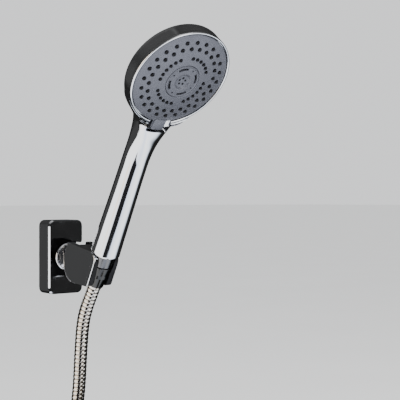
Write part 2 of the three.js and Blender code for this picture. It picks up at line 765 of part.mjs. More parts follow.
function routeCurve(route) {
  return new THREE.CatmullRomCurve3(route.map((point) => new THREE.Vector3(...point)), false, 'centripetal');
}

function coilSolid(grow) {
  const half = COIL.halfWidth + grow;
  const [inner, outer] = [COIL.radius - HOSE.radius - grow, COIL.radius + HOSE.radius + grow];
  const soft = 5;
  const body = turned([
    [inner, -half + soft],
    [inner + soft, -half],
    [outer - soft, -half],
    [outer, -half + soft],
    [outer, half - soft],
    [outer - soft, half],
    [inner + soft, half],
    [inner, half - soft],
    [inner, -half + soft],
  ], 36);
  return moved(along('x', body), COIL.x, COIL.y, COIL.z);
}

function hoseTube(route, steps) {
  return largest(cut(tubeAlong(routeCurve(route), HOSE.radius, HOSE.sides, steps), coilSolid(GAP)));
}

// The biggest of the separate pieces that a cut leaves
function largest(body) {
  return body.decompose().reduce((best, next) => (next.volume() > best.volume() ? next : best));
}

function hoseTie() {
  const [inner, outer] = [0.9, 2.5];
  const half = COIL.halfWidth;
  const band = (grow) => rectangle(half + grow, HOSE.radius + grow, 5);
  const shape = band(outer);
  shape.holes.push(band(inner));
  const geometry = new THREE.ExtrudeGeometry(shape, { depth: 12, bevelEnabled: false, curveSegments: 3 });
  return moved(solid(geometry), COIL.x, COIL.y - COIL.radius, COIL.z - 6);
}

function endFerrule() {
  const body = turned([
    [FERRULE.bore, -0.3],
    [FERRULE.radius - 0.5, -0.3],
    [FERRULE.radius, -0.8],
    [FERRULE.radius, -17],
    [FERRULE.flange, -17],
    [FERRULE.flange, -18.4],
    [FERRULE.bore, -18.4],
    [FERRULE.bore, -0.3],
  ], 16);
  return moved(body, ...TAIL_END);
}

function supplyNut() {
  const top = -8;
  const bottom = top - END_NUT.length - 6;
  const body = turned([
    [FERRULE.radius + GAP, top],
    [FERRULE.radius + 1.6, top],
    [END_NUT.radius, top - 5],
    [END_NUT.radius, bottom + 0.8],
    [END_NUT.radius - 0.8, bottom],
    [END_NUT.bore, bottom],
    [END_NUT.bore, -16.7],
    [FERRULE.radius + GAP, -16.7],
    [FERRULE.radius + GAP, top],
  ], 24);
  const flute = rod(1.1, bottom - 1, top - 5, 6);
  const flutes = evenAngles(12, 0).map((angle) => onRing(flute, END_NUT.radius + 0.5, angle));
  return moved(cut(body, ...flutes), ...TAIL_END);
}

function supplyWasher() {
  return moved(ring(5, 9.8, -20.7, -18.7, 16), ...TAIL_END);
}

// ---- Assembly --------------------------------------------------------------------------------

addPiece(set, 'wall_base', wallBase(), PAINT.greyPlastic);
addPiece(set, 'bracket_cover', bracketCover(), PAINT.darkChrome);
addPiece(set, 'cover_grub_screw', coverGrubScrew(), PAINT.steel);
addPiece(set, 'swivel_boss', swivelBoss(), PAINT.darkChrome);
addPiece(set, 'boss_screw_left', bossScrew(-1), PAINT.steel);
addPiece(set, 'boss_screw_right', bossScrew(1), PAINT.steel);
addPiece(set, 'friction_washer_left', frictionWasher(-1), PAINT.whitePlastic);
addPiece(set, 'friction_washer_right', frictionWasher(1), PAINT.whitePlastic);
addPiece(set, 'holder_fork', holderFork(), PAINT.chrome);
addPiece(set, 'pivot_pin', pivotPin(), PAINT.steel);

addPiece(handset, 'handset_shell', handsetShell(), PAINT.chrome);
addPiece(handset, 'water_tube', waterTube(), PAINT.whitePlastic);
addPiece(handset, 'inlet_connector', inletConnector(), PAINT.chrome);
addPiece(handset, 'tube_oring', tubeOring(), PAINT.rubber);
addPiece(handset, 'flow_regulator', flowRegulator(), PAINT.greyPlastic);
addPiece(handset, 'hose_washer', hoseWasher(), PAINT.rubber);
addPiece(handset, 'cone_nut', coneNut(), PAINT.chrome);
addPiece(handset, 'hose_ferrule', hoseFerrule(), PAINT.brass);

addPiece(head, 'rim_ring', rimRing(), PAINT.chrome);
addPiece(head, 'distributor', distributor(), PAINT.whitePlastic);
addPiece(head, 'diverter_gasket', diverterGasket(), PAINT.rubber);
addPiece(head, 'diverter_seal', diverterSeal(), PAINT.rubber);
addPiece(head, 'detent_ball', detentBall(), PAINT.steel);
addPiece(head, 'detent_spring', detentSpring(), PAINT.steel);
addPiece(head, 'face_plate', facePlate(), PAINT.face);
addPiece(head, 'nozzle_mat', nozzleMat(), PAINT.rubber);
addPiece(head, 'jet_insert', jetInsert(), PAINT.face);
addPiece(head, 'chamber_plate', chamberPlate(), PAINT.whitePlastic);
addPiece(head, 'diverter_disc', diverterDisc(), PAINT.greyPlastic);
addPiece(head, 'centre_screw', centreScrew(), PAINT.steel);

addPiece(set, 'hose_tube', hoseTube(HOSE_ROUTE, 14), PAINT.chrome);
addPiece(set, 'hose_coil', coilSolid(0), PAINT.chrome);
addPiece(set, 'hose_tail', hoseTube(TAIL_ROUTE, 2), PAINT.chrome);
addPiece(set, 'hose_tie', hoseTie(), PAINT.strap);
addPiece(set, 'end_ferrule', endFerrule(), PAINT.brass);
addPiece(set, 'supply_nut', supplyNut(), PAINT.chrome);
addPiece(set, 'supply_washer', supplyWasher(), PAINT.rubber);

export default set;
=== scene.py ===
"""Looks of a hand shower in its tilting wall holder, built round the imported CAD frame.

Shapes are drawn in millimetres, in the same frames as the CAD: ROW is the set's own frame, HANDSET
has z up the handle and HEAD has z out of the spray face. Every mesh is stored in metres.
"""

import json
import math

import bmesh
import bpy
import numpy as np
from mathutils import Matrix, Vector


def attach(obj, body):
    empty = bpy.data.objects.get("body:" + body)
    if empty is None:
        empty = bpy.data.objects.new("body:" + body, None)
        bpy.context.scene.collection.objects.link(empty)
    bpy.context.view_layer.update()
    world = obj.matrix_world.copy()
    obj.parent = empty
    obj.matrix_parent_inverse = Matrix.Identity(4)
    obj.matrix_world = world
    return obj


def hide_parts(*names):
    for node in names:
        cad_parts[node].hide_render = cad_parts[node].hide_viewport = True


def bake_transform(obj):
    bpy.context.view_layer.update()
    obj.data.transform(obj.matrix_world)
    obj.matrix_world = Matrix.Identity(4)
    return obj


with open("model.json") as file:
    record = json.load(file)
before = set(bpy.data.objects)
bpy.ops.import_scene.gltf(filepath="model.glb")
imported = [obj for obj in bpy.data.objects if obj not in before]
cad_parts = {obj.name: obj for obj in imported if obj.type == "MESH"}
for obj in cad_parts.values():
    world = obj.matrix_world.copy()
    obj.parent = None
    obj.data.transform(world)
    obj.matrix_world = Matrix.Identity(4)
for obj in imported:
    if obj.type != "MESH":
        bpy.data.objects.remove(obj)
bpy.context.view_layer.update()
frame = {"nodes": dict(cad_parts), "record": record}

MM = 0.001


# ---- Dimensions, in millimetres --------------------------

GAP = 0.3  # left between pieces that touch
BEYOND = 40  # somewhere well outside the part, where a cutting tool may end

PLATE = {"width": 42.4, "height": 80.4, "depth": 21.6, "corner": 7.5, "wall": 2.2, "edge": 1.5}
POCKET = {"half_width": 18.4, "half_height": 20.5, "floor": 8, "corner": 4, "lip": (20.4, 14.4, 6)}
BOSS = {"radius": 15, "stem": 10.8, "back": 5.3, "shoulder": 8.3, "front": 27, "rim": 2}
TONGUE = {"half_width": 6, "low": -11, "high": 9, "round": 8.5}
PIVOT = {"y": -62, "z": -4, "pin": 2.5, "pin_start": -12, "head": 3.5, "head_start": 13}
HOLDER = {"half_width": 15, "back": 21, "mouth": 8.6, "clear": 0.6, "slot": 7.8, "edge": 0.8}
# Corners (y, z) of the holder's side outline: where its top starts, and the bends of nose and foot
HOLDER_TOP = (-50, 17.2)
HOLDER_NOSE = [(-93.3, 9), (-107.3, 6.4), (-100.3, -6)]
HOLDER_FOOT = [(-89.4, -25.4), (-88.2, -27.4), (-85, -27.2)]

HANDLE_LOW = 0.6
HANDLE_HIGH = 178
# Up the handle: height, how far its middle lies forward, half-width, half-depth, and how square it
# is, from 2 for an ellipse upwards
HANDLE_STATIONS = np.array([
    (HANDLE_LOW, 0, 15.2, 15.2, 2),
    (20, 0, 14.75, 14.75, 2),
    (45, 0, 14.25, 14.25, 2),
    (70, 0, 13.75, 13.75, 2),
    (95, 0, 13.4, 13.4, 2),
    (115, 0.4, 13.3, 13.3, 2.05),
    (130, 2, 13.8, 13.3, 2.3),
    (142, 4.2, 15.6, 13.2, 2.7),
    (152, 6.4, 18.8, 12.2, 3),
    (164, 8, 24, 11, 3),
    (HANDLE_HIGH, 9.5, 28, 9, 3),
])
NECK_FILLET = 9

HEAD_SHELL = {"radius": 51.2, "side": 12, "back": 27, "front": -3, "wall": 2.4, "floor": -16}
RIM = {"inner": 49.2, "outer": 51.4, "front": 1, "back": -2.7}
FACE = {"radius": 48.6, "crown": 4.5, "thickness": 2.2}
TAB = {"half_width": 6.85, "root": 46.6, "end": 58.6, "corner": 2.2, "top": 0.9, "bottom": -2.1}
RECESS = {"half_width": 12.4, "root": 30, "end": 60.4, "corner": 2.5, "floor": -3.3}
NOZZLE = {"height": 1.2, "taper": 0.9, "bore": 0.28, "bore_depth": 1.2, "flare": 0.6}
MAT = {"inner": 9.5, "outer": 46, "thickness": 1.2}
INSERT = {"radius": 17.2, "slot_ring": 13.8, "slot_half": 1.15, "slot_arc": 42, "dot": 0.9, "dish": 1.6}
JET = {"ring": 3.4, "radius": 1.2, "bush": 1.15, "bore": 0.45}

COLLAR = {"radius": 11.3, "length": 12.5}
PLUG = {"radius": 11.6, "length": 14, "bore": 7.6, "floor": 2.5}
SPIGOT = {"radius": 10.2, "bore": 6.6, "end": -22}
NUT = {"top": -13.1, "bottom": -38.5, "top_radius": 11.8, "bottom_radius": 8.8, "bore": 10.7}
FERRULE = {"radius": 7.5, "flange": 9.6, "bore": 5, "top": -24.6, "shoulder": -26.6, "end": -41.5}

HOSE_RADIUS = 7
HOSE_PITCH = 4.5
RIDGE_HEIGHT = 0.45
COIL = {"x": 7, "y": -117.6, "z": -227, "radius": 70, "half_width": 28, "turns": 3}
STRAP = {"half_width": 6, "thickness": 1.4, "corner": 5}
# The hanging stretch, from the ferrule to where the first turn begins
HOSE_ROUTE = [
    (0, -78.8, -28.6),
    (-0.5, -73.3, -38.3),
    (-1.6, -67.8, -49.5),
    (-2.3, -63, -61.5),
    (-2.2, -59.4, -74),
    (-1.8, -56.7, -88),
    (-1.2, -53.9, -104),
    (-0.6, -51.4, -121),
    (-0.6, -49.4, -139),
    (-2.2, -48.1, -157),
    (-6, -47.6, -175),
    (-10.4, -47.6, -193),
    (-13.3, -47.6, -210),
    (-14, -47.6, -227),
]
# The last stretch, straight down out of the last turn
TAIL_ROUTE = [(28, -47.6, -250), (28, -47.6, -275), (28, -47.6, -302)]
END_SLEEVE = {"shoulder": -17, "end": -18.4}
END_NUT = {"radius": 12.4, "top": -8, "shoulder": -13, "bottom": -30, "bore": 10.6, "floor": -16.7}
FLUTE = {"count": 12, "radius": 1.1, "outside": 0.5}
FLOOR_Z = -336


def shifted(x, y, z):
    return Matrix.Translation(Vector((x, y, z)) * MM)


ROW = Matrix.Identity(4)
HANDSET = shifted(0, -99.7, 7.6) @ Matrix.Rotation(math.radians(30), 4, "X")
HEAD_IN_HANDSET = (0, -27.6, 207.2)
HEAD_TURN = math.radians(101.4)
HEAD = HANDSET @ shifted(*HEAD_IN_HANDSET) @ Matrix.Rotation(HEAD_TURN, 4, "X")
TAIL_END = shifted(*TAIL_ROUTE[-1])

# Other ways for a piece's own z to point
ALONG_X = Matrix.Rotation(math.radians(90), 4, "Y")
OUT_OF_WALL = Matrix.Rotation(math.radians(90), 4, "X")
AT_PIVOT = shifted(0, PIVOT["y"], PIVOT["z"])
SLAB = Matrix(((0, 0, 1, 0), (1, 0, 0, 0), (0, 1, 0, 0), (0, 0, 0, 1)))  # drawn in (y, z), thick along x


def even_angles(count, first):
    return [first + 360 * i / count for i in range(count)]


def grouped_angles(groups, per_group, step, first):
    return [start + i * step for start in even_angles(groups, first) for i in range(per_group)]


# Radius of each ring of nozzles, the radius of its tips, and where they are
NOZZLE_RINGS = [
    (41, 1.5, even_angles(24, 2.7)),
    (34.8, 1.5, even_angles(24, 9.7)),
    (25.1, 1.25, grouped_angles(4, 6, 12, 29.6)),
]
JET_ANGLES = even_angles(5, 18)


# ---- Camera ----------------------------------------------

def new_object(name, data):
    item = bpy.data.objects.new(name, data)
    bpy.context.scene.collection.objects.link(item)
    return item


def make_camera():
    camera = new_object("camera", bpy.data.cameras.new("camera"))
    camera.location = (-0.5334, -0.9234, 0.0619)
    camera.rotation_euler = (math.radians(90), 0, math.radians(-38.63))
    camera.data.lens = 85.5
    camera.data.sensor_width = 36
    bpy.context.scene.camera = camera


# ---- Mesh helpers ----------------------------------------

def make_mesh(name, points, faces, place=ROW, sharp_degrees=35):
    """A smooth-shaded object from points in millimetres, in the frame that place carries to the row."""
    mesh = bpy.data.meshes.new(name)
    mesh.from_pydata([tuple(Vector(p) * MM) for p in points], [], faces)
    tidy = bmesh.new()
    tidy.from_mesh(mesh)
    bmesh.ops.remove_doubles(tidy, verts=tidy.verts, dist=1e-7)
    bmesh.ops.recalc_face_normals(tidy, faces=tidy.faces)
    tidy.to_mesh(mesh)
    tidy.free()
    mesh.transform(place)
    piece = new_object(name, mesh)
    shade(piece, sharp_degrees)
    return piece


def shade(piece, sharp_degrees=35):
    mesh = piece.data
    mesh.polygons.foreach_set("use_smooth", [True] * len(mesh.polygons))
    mesh.set_sharp_from_angle(angle=math.radians(sharp_degrees))


def bend(start, corner, end, steps):
    """Points of the smooth bend that leaves start and reaches end heading for and from the corner."""
    start, corner, end = Vector(start), Vector(corner), Vector(end)
    path = []
    for i in range(steps + 1):
        t = i / steps
        path.append(tuple((1 - t) ** 2 * start + 2 * t * (1 - t) * corner + t * t * end))
    return path


def rounded(points, closed=True, steps=4):
    """A path of (a, b) or (a, b, radius) corners, each with a radius rounded off."""
    path = []
    for i, (a, b, *rest) in enumerate(points):
        radius = rest[0] if rest else 0
        if radius == 0 or (not closed and i in (0, len(points) - 1)):
            path.append((a, b))
            continue
        corner = Vector((a, b))
        before = Vector(points[i - 1][:2]) - corner
        after = Vector(points[(i + 1) % len(points)][:2]) - corner
        half = before.angle(after) / 2
        reach = min(radius / math.tan(half), 0.49 * before.length, 0.49 * after.length)
        start = corner + before.normalized() * reach
        end = corner + after.normalized() * reach
        path += bend(start, corner, end, steps)
    return path


def ring_faces(rows, sides, closed=False):
    """Faces between rings of points, each ring joined to the next."""
    faces = []
    for row in range(rows if closed else rows - 1):
        below, above = row * sides, (row + 1) % rows * sides
        for k in range(sides):
            side = (k + 1) % sides
            faces.append((below + k, below + side, above + side, above + k))
    return faces


def end_faces(rows, sides):
    """The two flat ends of a stack of rings."""
    last = (rows - 1) * sides
    return [tuple(reversed(range(sides))), tuple(range(last, last + sides))]


def turned(name, profile, place=ROW, segments=96, closed=True, sharp_degrees=35):
    """A path of (radius, height) points turned about z."""
    points = []
    for radius, height in profile:
        for k in range(segments):
            angle = 2 * math.pi * k / segments
            points.append((radius * math.cos(angle), radius * math.sin(angle), height))
    faces = ring_faces(len(profile), segments, closed)
    return make_mesh(name, points, faces, place, sharp_degrees)


def rod(name, radius, low, high, place=ROW, segments=48, edge=0):
    profile = [(0, low), (radius, low, edge), (radius, high, edge), (0, high)]
    return turned(name, rounded(profile, closed=False), place, segments, closed=False)


def inset(path, distance):
    """A closed path moved inwards, keeping its number of points. The path runs anticlockwise."""
    moved = []
    for i, here in enumerate(path):
        here = Vector(here)
        into = (here - Vector(path[i - 1])).normalized()
        out = (Vector(path[(i + 1) % len(path)]) - here).normalized()
        normal = Vector((-into.y - out.y, into.x + out.x)).normalized()
        bisected = max(0.3, normal.dot(Vector((-into.y, into.x))))
        moved.append(tuple(here + normal * distance / bisected))
    return moved


def prism(name, path, low, high, place=ROW, edge=0, round_steps=3, sharp_degrees=35):
    """A closed path given thickness along z, with its two rims rounded (or cut at 45 if steps is 1)."""
    rims = []
    for k in range(round_steps + 1):
        angle = 0.5 * math.pi * k / round_steps
        rims.append((edge * (1 - math.sin(angle)), edge * (1 - math.cos(angle))))
    levels = [(into, low + up) for into, up in rims]
    levels += [(into, high - up) for into, up in reversed(rims)]
    if edge == 0:
        levels = [(0, low), (0, high)]
    count = len(path)
    points = []
    for into, height in levels:
        points += [(a, b, height) for a, b in (inset(path, into) if into else path)]
    faces = end_faces(len(levels), count) + ring_faces(len(levels), count)
    return make_mesh(name, points, faces, place, sharp_degrees)


def rectangle(half_width, half_height, corner, steps=6):
    return rounded([
        (-half_width, -half_height, corner),
        (half_width, -half_height, corner),
        (half_width, half_height, corner),
        (-half_width, half_height, corner),
    ], steps=steps)


def arc_points(centre, radius, start, end, steps):
    turns = [math.radians(start + (end - start) * i / steps) for i in range(steps + 1)]
    return [(centre[0] + radius * math.cos(t), centre[1] + radius * math.sin(t)) for t in turns]


def evaluated(piece):
    """Takes the piece's modifiers into its own mesh."""
    bpy.context.view_layer.update()
    graph = bpy.context.evaluated_depsgraph_get()
    mesh = bpy.data.meshes.new_from_object(piece.evaluated_get(graph))
    piece.modifiers.clear()
    piece.data = mesh
    return piece


def combine(piece, operation, tools, sharp_degrees=35):
    """Cuts the tools out of the piece, or joins them to it, and removes them."""
    for tool in tools:
        modifier = piece.modifiers.new("solid", "BOOLEAN")
        modifier.operation = operation
        modifier.solver = "MANIFOLD"
        modifier.object = tool
    evaluated(piece)
    for tool in tools:
        bpy.data.objects.remove(tool)
    shade(piece, sharp_degrees)
    return piece


def carve(piece, *tools, sharp_degrees=35):
    return combine(piece, "DIFFERENCE", tools, sharp_degrees)


def gather(name, pieces):
    """Several pieces as the loose parts of one mesh."""
    whole = bmesh.new()
    for piece in pieces:
        whole.from_mesh(piece.data)
        bpy.data.objects.remove(piece)
    mesh = bpy.data.meshes.new(name)
    whole.to_mesh(mesh)
    whole.free()
    result = new_object(name, mesh)
    shade(result)
    return result


def soften_edges(piece, width):
    """Rounds every crisp edge of a finished solid."""
    bevel = piece.modifiers.new("bevel", "BEVEL")
    bevel.width = width * MM
    bevel.segments = 2
    bevel.limit_method = "ANGLE"
    bevel.angle_limit = math.radians(40)
    bevel.harden_normals = False
    evaluated(piece)
    shade(piece, 50)


def spun(radius, angle_degrees):
    """The place of something on a ring about z."""
    turn = math.radians(angle_degrees)
    return shifted(radius * math.cos(turn), radius * math.sin(turn), 0)


def finish_piece(piece, material, slot, body, *nodes):
    """Gives a piece its material, hides the CAD parts that it stands in for, and attaches it to the body it
    moves with, if it has one.
    """
    piece.data.materials.clear()
    piece.data.materials.append(material)
    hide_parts(*nodes)
    if body:
        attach(piece, body)
    return piece


# ---- Materials -------------------------------------------

class Nodes:
    """A node tree, with short ways to add the usual nodes."""

    def __init__(self, tree):
        self.tree = tree

    def add(self, kind, inputs, **settings):
        """A new node with its inputs filled in, by name or by number."""
        node = self.tree.nodes.new(kind)
        for name, value in settings.items():
            setattr(node, name, value)
        for name, value in inputs.items():
            self.fill(node.inputs[name], value)
        return node

    def fill(self, socket, value):
        """Gives an input a number or a colour, or links it to the output of another node."""
        if isinstance(value, bpy.types.NodeSocket):
            self.tree.links.new(value, socket)
        else:
            socket.default_value = (*value, 1) if isinstance(value, tuple) else value

    def mixed(self, factor, first, second):
        inputs = {"Factor": factor, "A": first, "B": second}
        return self.add("ShaderNodeMix", inputs, data_type="RGBA").outputs["Result"]


class Surface(Nodes):
    """The nodes of a material."""

    def __init__(self, name, **fixed):
        self.material = bpy.data.materials.new(name)
        self.material.use_nodes = True
        super().__init__(self.material.node_tree)
        self.shader = self.tree.nodes["Principled BSDF"]
        self.place = self.add("ShaderNodeTexCoord", {}).outputs["Object"]
        for socket, value in fixed.items():
            self.set(socket.replace("_", " "), value)

    def set(self, socket, value):
        self.fill(self.shader.inputs[socket], value)

    def noise(self, scale, detail=3, roughness=0.5):
        inputs = {"Scale": scale, "Detail": detail, "Roughness": roughness, "Vector": self.place}
        return self.add("ShaderNodeTexNoise", inputs).outputs["Fac"]

    def waves(self, scale, distortion):
        inputs = {"Scale": scale, "Distortion": distortion, "Vector": self.place}
        return self.add("ShaderNodeTexWave", inputs, bands_direction="Z").outputs["Fac"]

    def ranged(self, output, low, high, start=0.3, end=0.7):
        inputs = {"From Min": start, "From Max": end, "To Min": low, "To Max": high, "Value": output}
        return self.add("ShaderNodeMapRange", inputs).outputs["Result"]

    def colour(self, factor, first, second, start=0.3, end=0.7):
        self.set("Base Color", self.mixed(self.ranged(factor, 0, 1, start, end), first, second))

    def rough(self, factor, low, high, start=0.3, end=0.7):
        self.set("Roughness", self.ranged(factor, low, high, start, end))

    def bump(self, height, strength, distance):
        inputs = {"Strength": strength, "Distance": distance, "Height": height}
        self.set("Normal", self.add("ShaderNodeBump", inputs).outputs["Normal"])


def chrome(name, tint, clean, worn):
    """Polished chrome plate: a mirror with faint smears and dried water marks."""
    surface = Surface(name, Metallic=1.0)
    bright = tuple(min(1, 1.04 * c) for c in tint)
    surface.colour(surface.noise(18, 4), tint, bright)
    surface.rough(surface.noise(55, 6, 0.65), clean, worn, 0.35, 0.75)
    surface.bump(surface.noise(28, 2), 0.04, 0.0004)
    return surface.material


def turned_steel(name):
    """Plain turned steel, with fine tool marks."""
    surface = Surface(name, Metallic=1.0)
    surface.colour(surface.noise(40, 4), (0.5, 0.5, 0.48), (0.66, 0.66, 0.63))
    surface.rough(surface.noise(300, 4), 0.22, 0.42)
    surface.bump(surface.waves(900, 1.5), 0.1, 0.0001)
    return surface.material


def satin_silver(name):
    """Silver-grey lacquered plastic, satin, with a fine metallic grain."""
    surface = Surface(name, Metallic=0.35)
    surface.colour(surface.noise(1400, 2), (0.100, 0.104, 0.126), (0.128, 0.133, 0.160))
    surface.rough(surface.noise(60, 5), 0.33, 0.47)
    surface.bump(surface.noise(2200, 2), 0.12, 0.00008)
    return surface.material


def soft_rubber(name):
    """Black silicone rubber, slightly dusty, with a fine mould grain."""
    surface = Surface(name, Metallic=0.0, Specular_IOR_Level=0.25)
    surface.colour(surface.noise(90, 5), (0.004, 0.004, 0.005), (0.010, 0.010, 0.012))
    surface.rough(surface.noise(120, 4), 0.42, 0.62)
    surface.bump(surface.noise(1500, 2), 0.15, 0.0001)
    return surface.material


def moulded_plastic(name, dark, light):
    """Injection-moulded plastic with faint flow marks and a spark-eroded grain."""
    surface = Surface(name, Metallic=0.0)
    surface.colour(surface.noise(25, 5), dark, light)
    surface.rough(surface.noise(70, 4), 0.38, 0.55)
    surface.bump(surface.noise(1100, 3), 0.12, 0.0001)
    return surface.material


def painted_shade_black(name):
    """Glossy near-black surface that stands in for shade: painted shade in the jaws' seat and mouth and in
    the wall plate's pocket, and a painted dark reflection on the jaws' fronts.
    """
    surface = Surface(name, Metallic=0.0, Specular_IOR_Level=0.05)
    surface.colour(surface.noise(40, 4), (0.008, 0.008, 0.009), (0.016, 0.016, 0.018))
    surface.rough(surface.noise(90, 5), 0.12, 0.26)
    surface.bump(surface.noise(60, 3), 0.05, 0.0002)
    return surface.material


def spiral_metal(name):
    """Bright stainless strip, a little warm, darker along the bottom of each groove."""
    surface = Surface(name, Metallic=1.0)
    groove = surface.add("ShaderNodeAttribute", {}, attribute_name="groove").outputs["Fac"]
    clouds = surface.ranged(surface.noise(35, 5), 0, 1)
    strip = surface.mixed(clouds, (0.60, 0.55, 0.48), (0.76, 0.72, 0.66))
    surface.colour(groove, strip, (0.10, 0.085, 0.07), 0.62, 0.9)
    surface.rough(surface.noise(160, 5), 0.1, 0.24)
    surface.bump(surface.noise(420, 3), 0.05, 0.00015)
    return surface.material


def ribbed_strap(name):
    """Matt rubber strap with fine ribs across it."""
    surface = Surface(name, Metallic=0.0)
    surface.colour(surface.noise(60, 5), (0.02, 0.02, 0.022), (0.045, 0.045, 0.05))
    surface.rough(surface.noise(90, 4), 0.6, 0.8)
    surface.bump(surface.waves(260, 0.2), 0.5, 0.0003)
    return surface.material


def make_materials():
    return {
        "chrome": chrome("polished_chrome", (0.80, 0.81, 0.83), 0.035, 0.11),
        # A darker copy of the chrome for the inlet collar: painted shade from the holder's jaws
        "collar_chrome_painted_shade": chrome("collar_chrome_painted_shade", (0.13, 0.13, 0.135), 0.08, 0.2),
        # A near-black copy of the chrome for the cone nut: painted shade from the holder's jaws
        "nut_chrome_painted_shade": chrome("nut_chrome_painted_shade", (0.055, 0.055, 0.055), 0.08, 0.2),
        "dark_chrome": chrome("wall_plate_chrome", (0.74, 0.75, 0.78), 0.05, 0.13),
        "steel": turned_steel("turned_steel"),
        "spray_face": satin_silver("satin_silver"),
        "rubber": soft_rubber("silicone_rubber"),
        "white_plastic": moulded_plastic("natural_plastic", (0.66, 0.66, 0.63), (0.76, 0.76, 0.73)),
        "grey_plastic": moulded_plastic("grey_plastic", (0.12, 0.125, 0.13), (0.18, 0.185, 0.19)),
        # Near-black for painted shade in the jaws and the wall plate's pocket, and a painted dark reflection
        # on the jaws' fronts
        "painted_shade": painted_shade_black("painted_shade_lining"),
        "hose_metal": spiral_metal("spiral_metal"),
        "strap": ribbed_strap("strap_rubber"),
    }


# ---- Hose ------------------------------------------------

def coil_turns():
    """Points of the stored turns, which start at the wall side and go down, out and back over."""
    points = []
    per_turn = 24
    for i in range(1, COIL["turns"] * per_turn + 1):
        turn = 2 * math.pi * i / per_turn
        x = HOSE_ROUTE[-1][0] + 2 * HOSE_RADIUS * i / per_turn
        y = COIL["y"] + COIL["radius"] * math.cos(turn)
        z = COIL["z"] - COIL["radius"] * math.sin(turn)
        points.append((x, y, z))
    return points


def smooth_curve(points, spacing):
    """A centripetal Catmull-Rom curve through the points, cut into equal short steps."""
    knots = np.array(points, float)
    ends = np.vstack([2 * knots[0] - knots[1], knots, 2 * knots[-1] - knots[-2]])
    fine = []
    for i in range(len(knots) - 1):
        four = ends[i:i + 4]
        times = np.concatenate([[0], np.cumsum(np.linalg.norm(np.diff(four, axis=0), axis=1) ** 0.5)])
        for t in np.linspace(times[1], times[2], 40, endpoint=False):
            layer = four
            for depth in (1, 2, 3):
                layer = [
                    ((times[k + depth] - t) * layer[k] + (t - times[k]) * layer[k + 1])
                    / (times[k + depth] - times[k])
                    for k in range(4 - depth)
                ]
            fine.append(layer[0])
    fine = np.array([*fine, knots[-1]])
    along = np.concatenate([[0], np.cumsum(np.linalg.norm(np.diff(fine, axis=0), axis=1))])
    count = int(along[-1] / spacing)
    steps = np.linspace(0, along[-1], count + 1)
    return np.stack([np.interp(steps, along, fine[:, k]) for k in range(3)], axis=1), steps


def spiral_tube(name, path, steps, sides=20):
    """A spiral-wound hose: rounded ridges that run round the path as one long screw."""
    forward = np.gradient(path, axis=0)
    forward /= np.linalg.norm(forward, axis=1)[:, None]
    side = np.cross(forward[0], (1.0, 0.0, 0.0))
    rings = []
    hollows = []
    angles = 2 * math.pi * np.arange(sides) / sides
    for centre, ahead, distance in zip(path, forward, steps):
        side = side - ahead * side.dot(ahead)
        side /= np.linalg.norm(side)
        up = np.cross(ahead, side)
        across = (distance / HOSE_PITCH - angles / (2 * math.pi)) % 1
        hollow = np.abs(2 * across - 1)
        hollows.append(hollow)
        radius = HOSE_RADIUS - RIDGE_HEIGHT * hollow ** 2.5
        outward = np.outer(np.cos(angles), side) + np.outer(np.sin(angles), up)
        rings.append(centre + radius[:, None] * outward)
    points = np.concatenate(rings)
    faces = ring_faces(len(path), sides) + end_faces(len(path), sides)
    piece = make_mesh(name, points, faces, sharp_degrees=60)
    groove = piece.data.attributes.new("groove", "FLOAT", "POINT")
    groove.data.foreach_set("value", np.concatenate(hollows))
    return piece


def hose(materials):
    points = [*HOSE_ROUTE, *coil_turns(), *TAIL_ROUTE]
    path, steps = smooth_curve(points, HOSE_PITCH / 8)
    piece = spiral_tube("spiral_hose", path, steps)
    finish_piece(piece, materials["hose_metal"], "hose_metal", None, "hose_tube", "hose_coil", "hose_tail")
    return piece, path


def hose_strap(materials):
    """The strap round the stored turns, with its free end laid over itself."""
    half_width, half_depth = COIL["half_width"] + 1, HOSE_RADIUS + 1
    thickness, edge, corner = STRAP["thickness"], STRAP["half_width"], STRAP["corner"]
    place = shifted(COIL["x"], COIL["y"] - COIL["radius"], COIL["z"])
    outline = rectangle(half_width + thickness, half_depth + thickness, corner + 1)
    band = prism("strap", outline, -edge, edge, place, 0.6)
    inside = prism("inside", rectangle(half_width, half_depth, corner), -BEYOND, BEYOND, place)
    carve(band, inside)
    flap = prism("flap", rectangle(16, thickness / 2, 0.6, 3), 0.6 - edge, edge - 0.6, place, 0.3)
    flap.data.transform(shifted(4, -half_depth - thickness - GAP, 0))
    piece = gather("hose_strap", [band, flap])
    return finish_piece(piece, materials["strap"], "strap", "hose", "hose_tie")


def hose_end(materials):
    ferrule = turned("end_sleeve", rounded([
        (FERRULE["bore"], -GAP),
        (FERRULE["radius"], -GAP, 0.5),
        (FERRULE["radius"], END_SLEEVE["shoulder"]),
        (FERRULE["flange"], END_SLEEVE["shoulder"]),
        (FERRULE["flange"], END_SLEEVE["end"]),
        (FERRULE["bore"], END_SLEEVE["end"]),
    ]), TAIL_END)
    finish_piece(ferrule, materials["hose_metal"], "hose_metal", "hose", "end_ferrule")
    nut = turned("outlet_nut_shape", rounded([
        (FERRULE["radius"] + GAP, END_NUT["top"]),
        (FERRULE["radius"] + 1.6, END_NUT["top"], 0.4),
        (END_NUT["radius"], END_NUT["shoulder"], 1),
        (END_NUT["radius"], END_NUT["bottom"], 0.8),
        (END_NUT["bore"], END_NUT["bottom"], 0.4),
        (END_NUT["bore"], END_NUT["floor"]),
        (FERRULE["radius"] + GAP, END_NUT["floor"]),
    ]), TAIL_END)
    flutes = []
    for angle in even_angles(FLUTE["count"], 0):
        place = TAIL_END @ spun(END_NUT["radius"] + FLUTE["outside"], angle)
        low, high = END_NUT["bottom"] - 1, END_NUT["shoulder"] - 1
        flutes.append(rod("flute", FLUTE["radius"], low, high, place, 16))
    carve(nut, gather("flutes", flutes))
    finish_piece(nut, materials["chrome"], "chrome", "outlet_nut", "supply_nut")
    return [ferrule, nut]


# ---- Hand shower -----------------------------------------

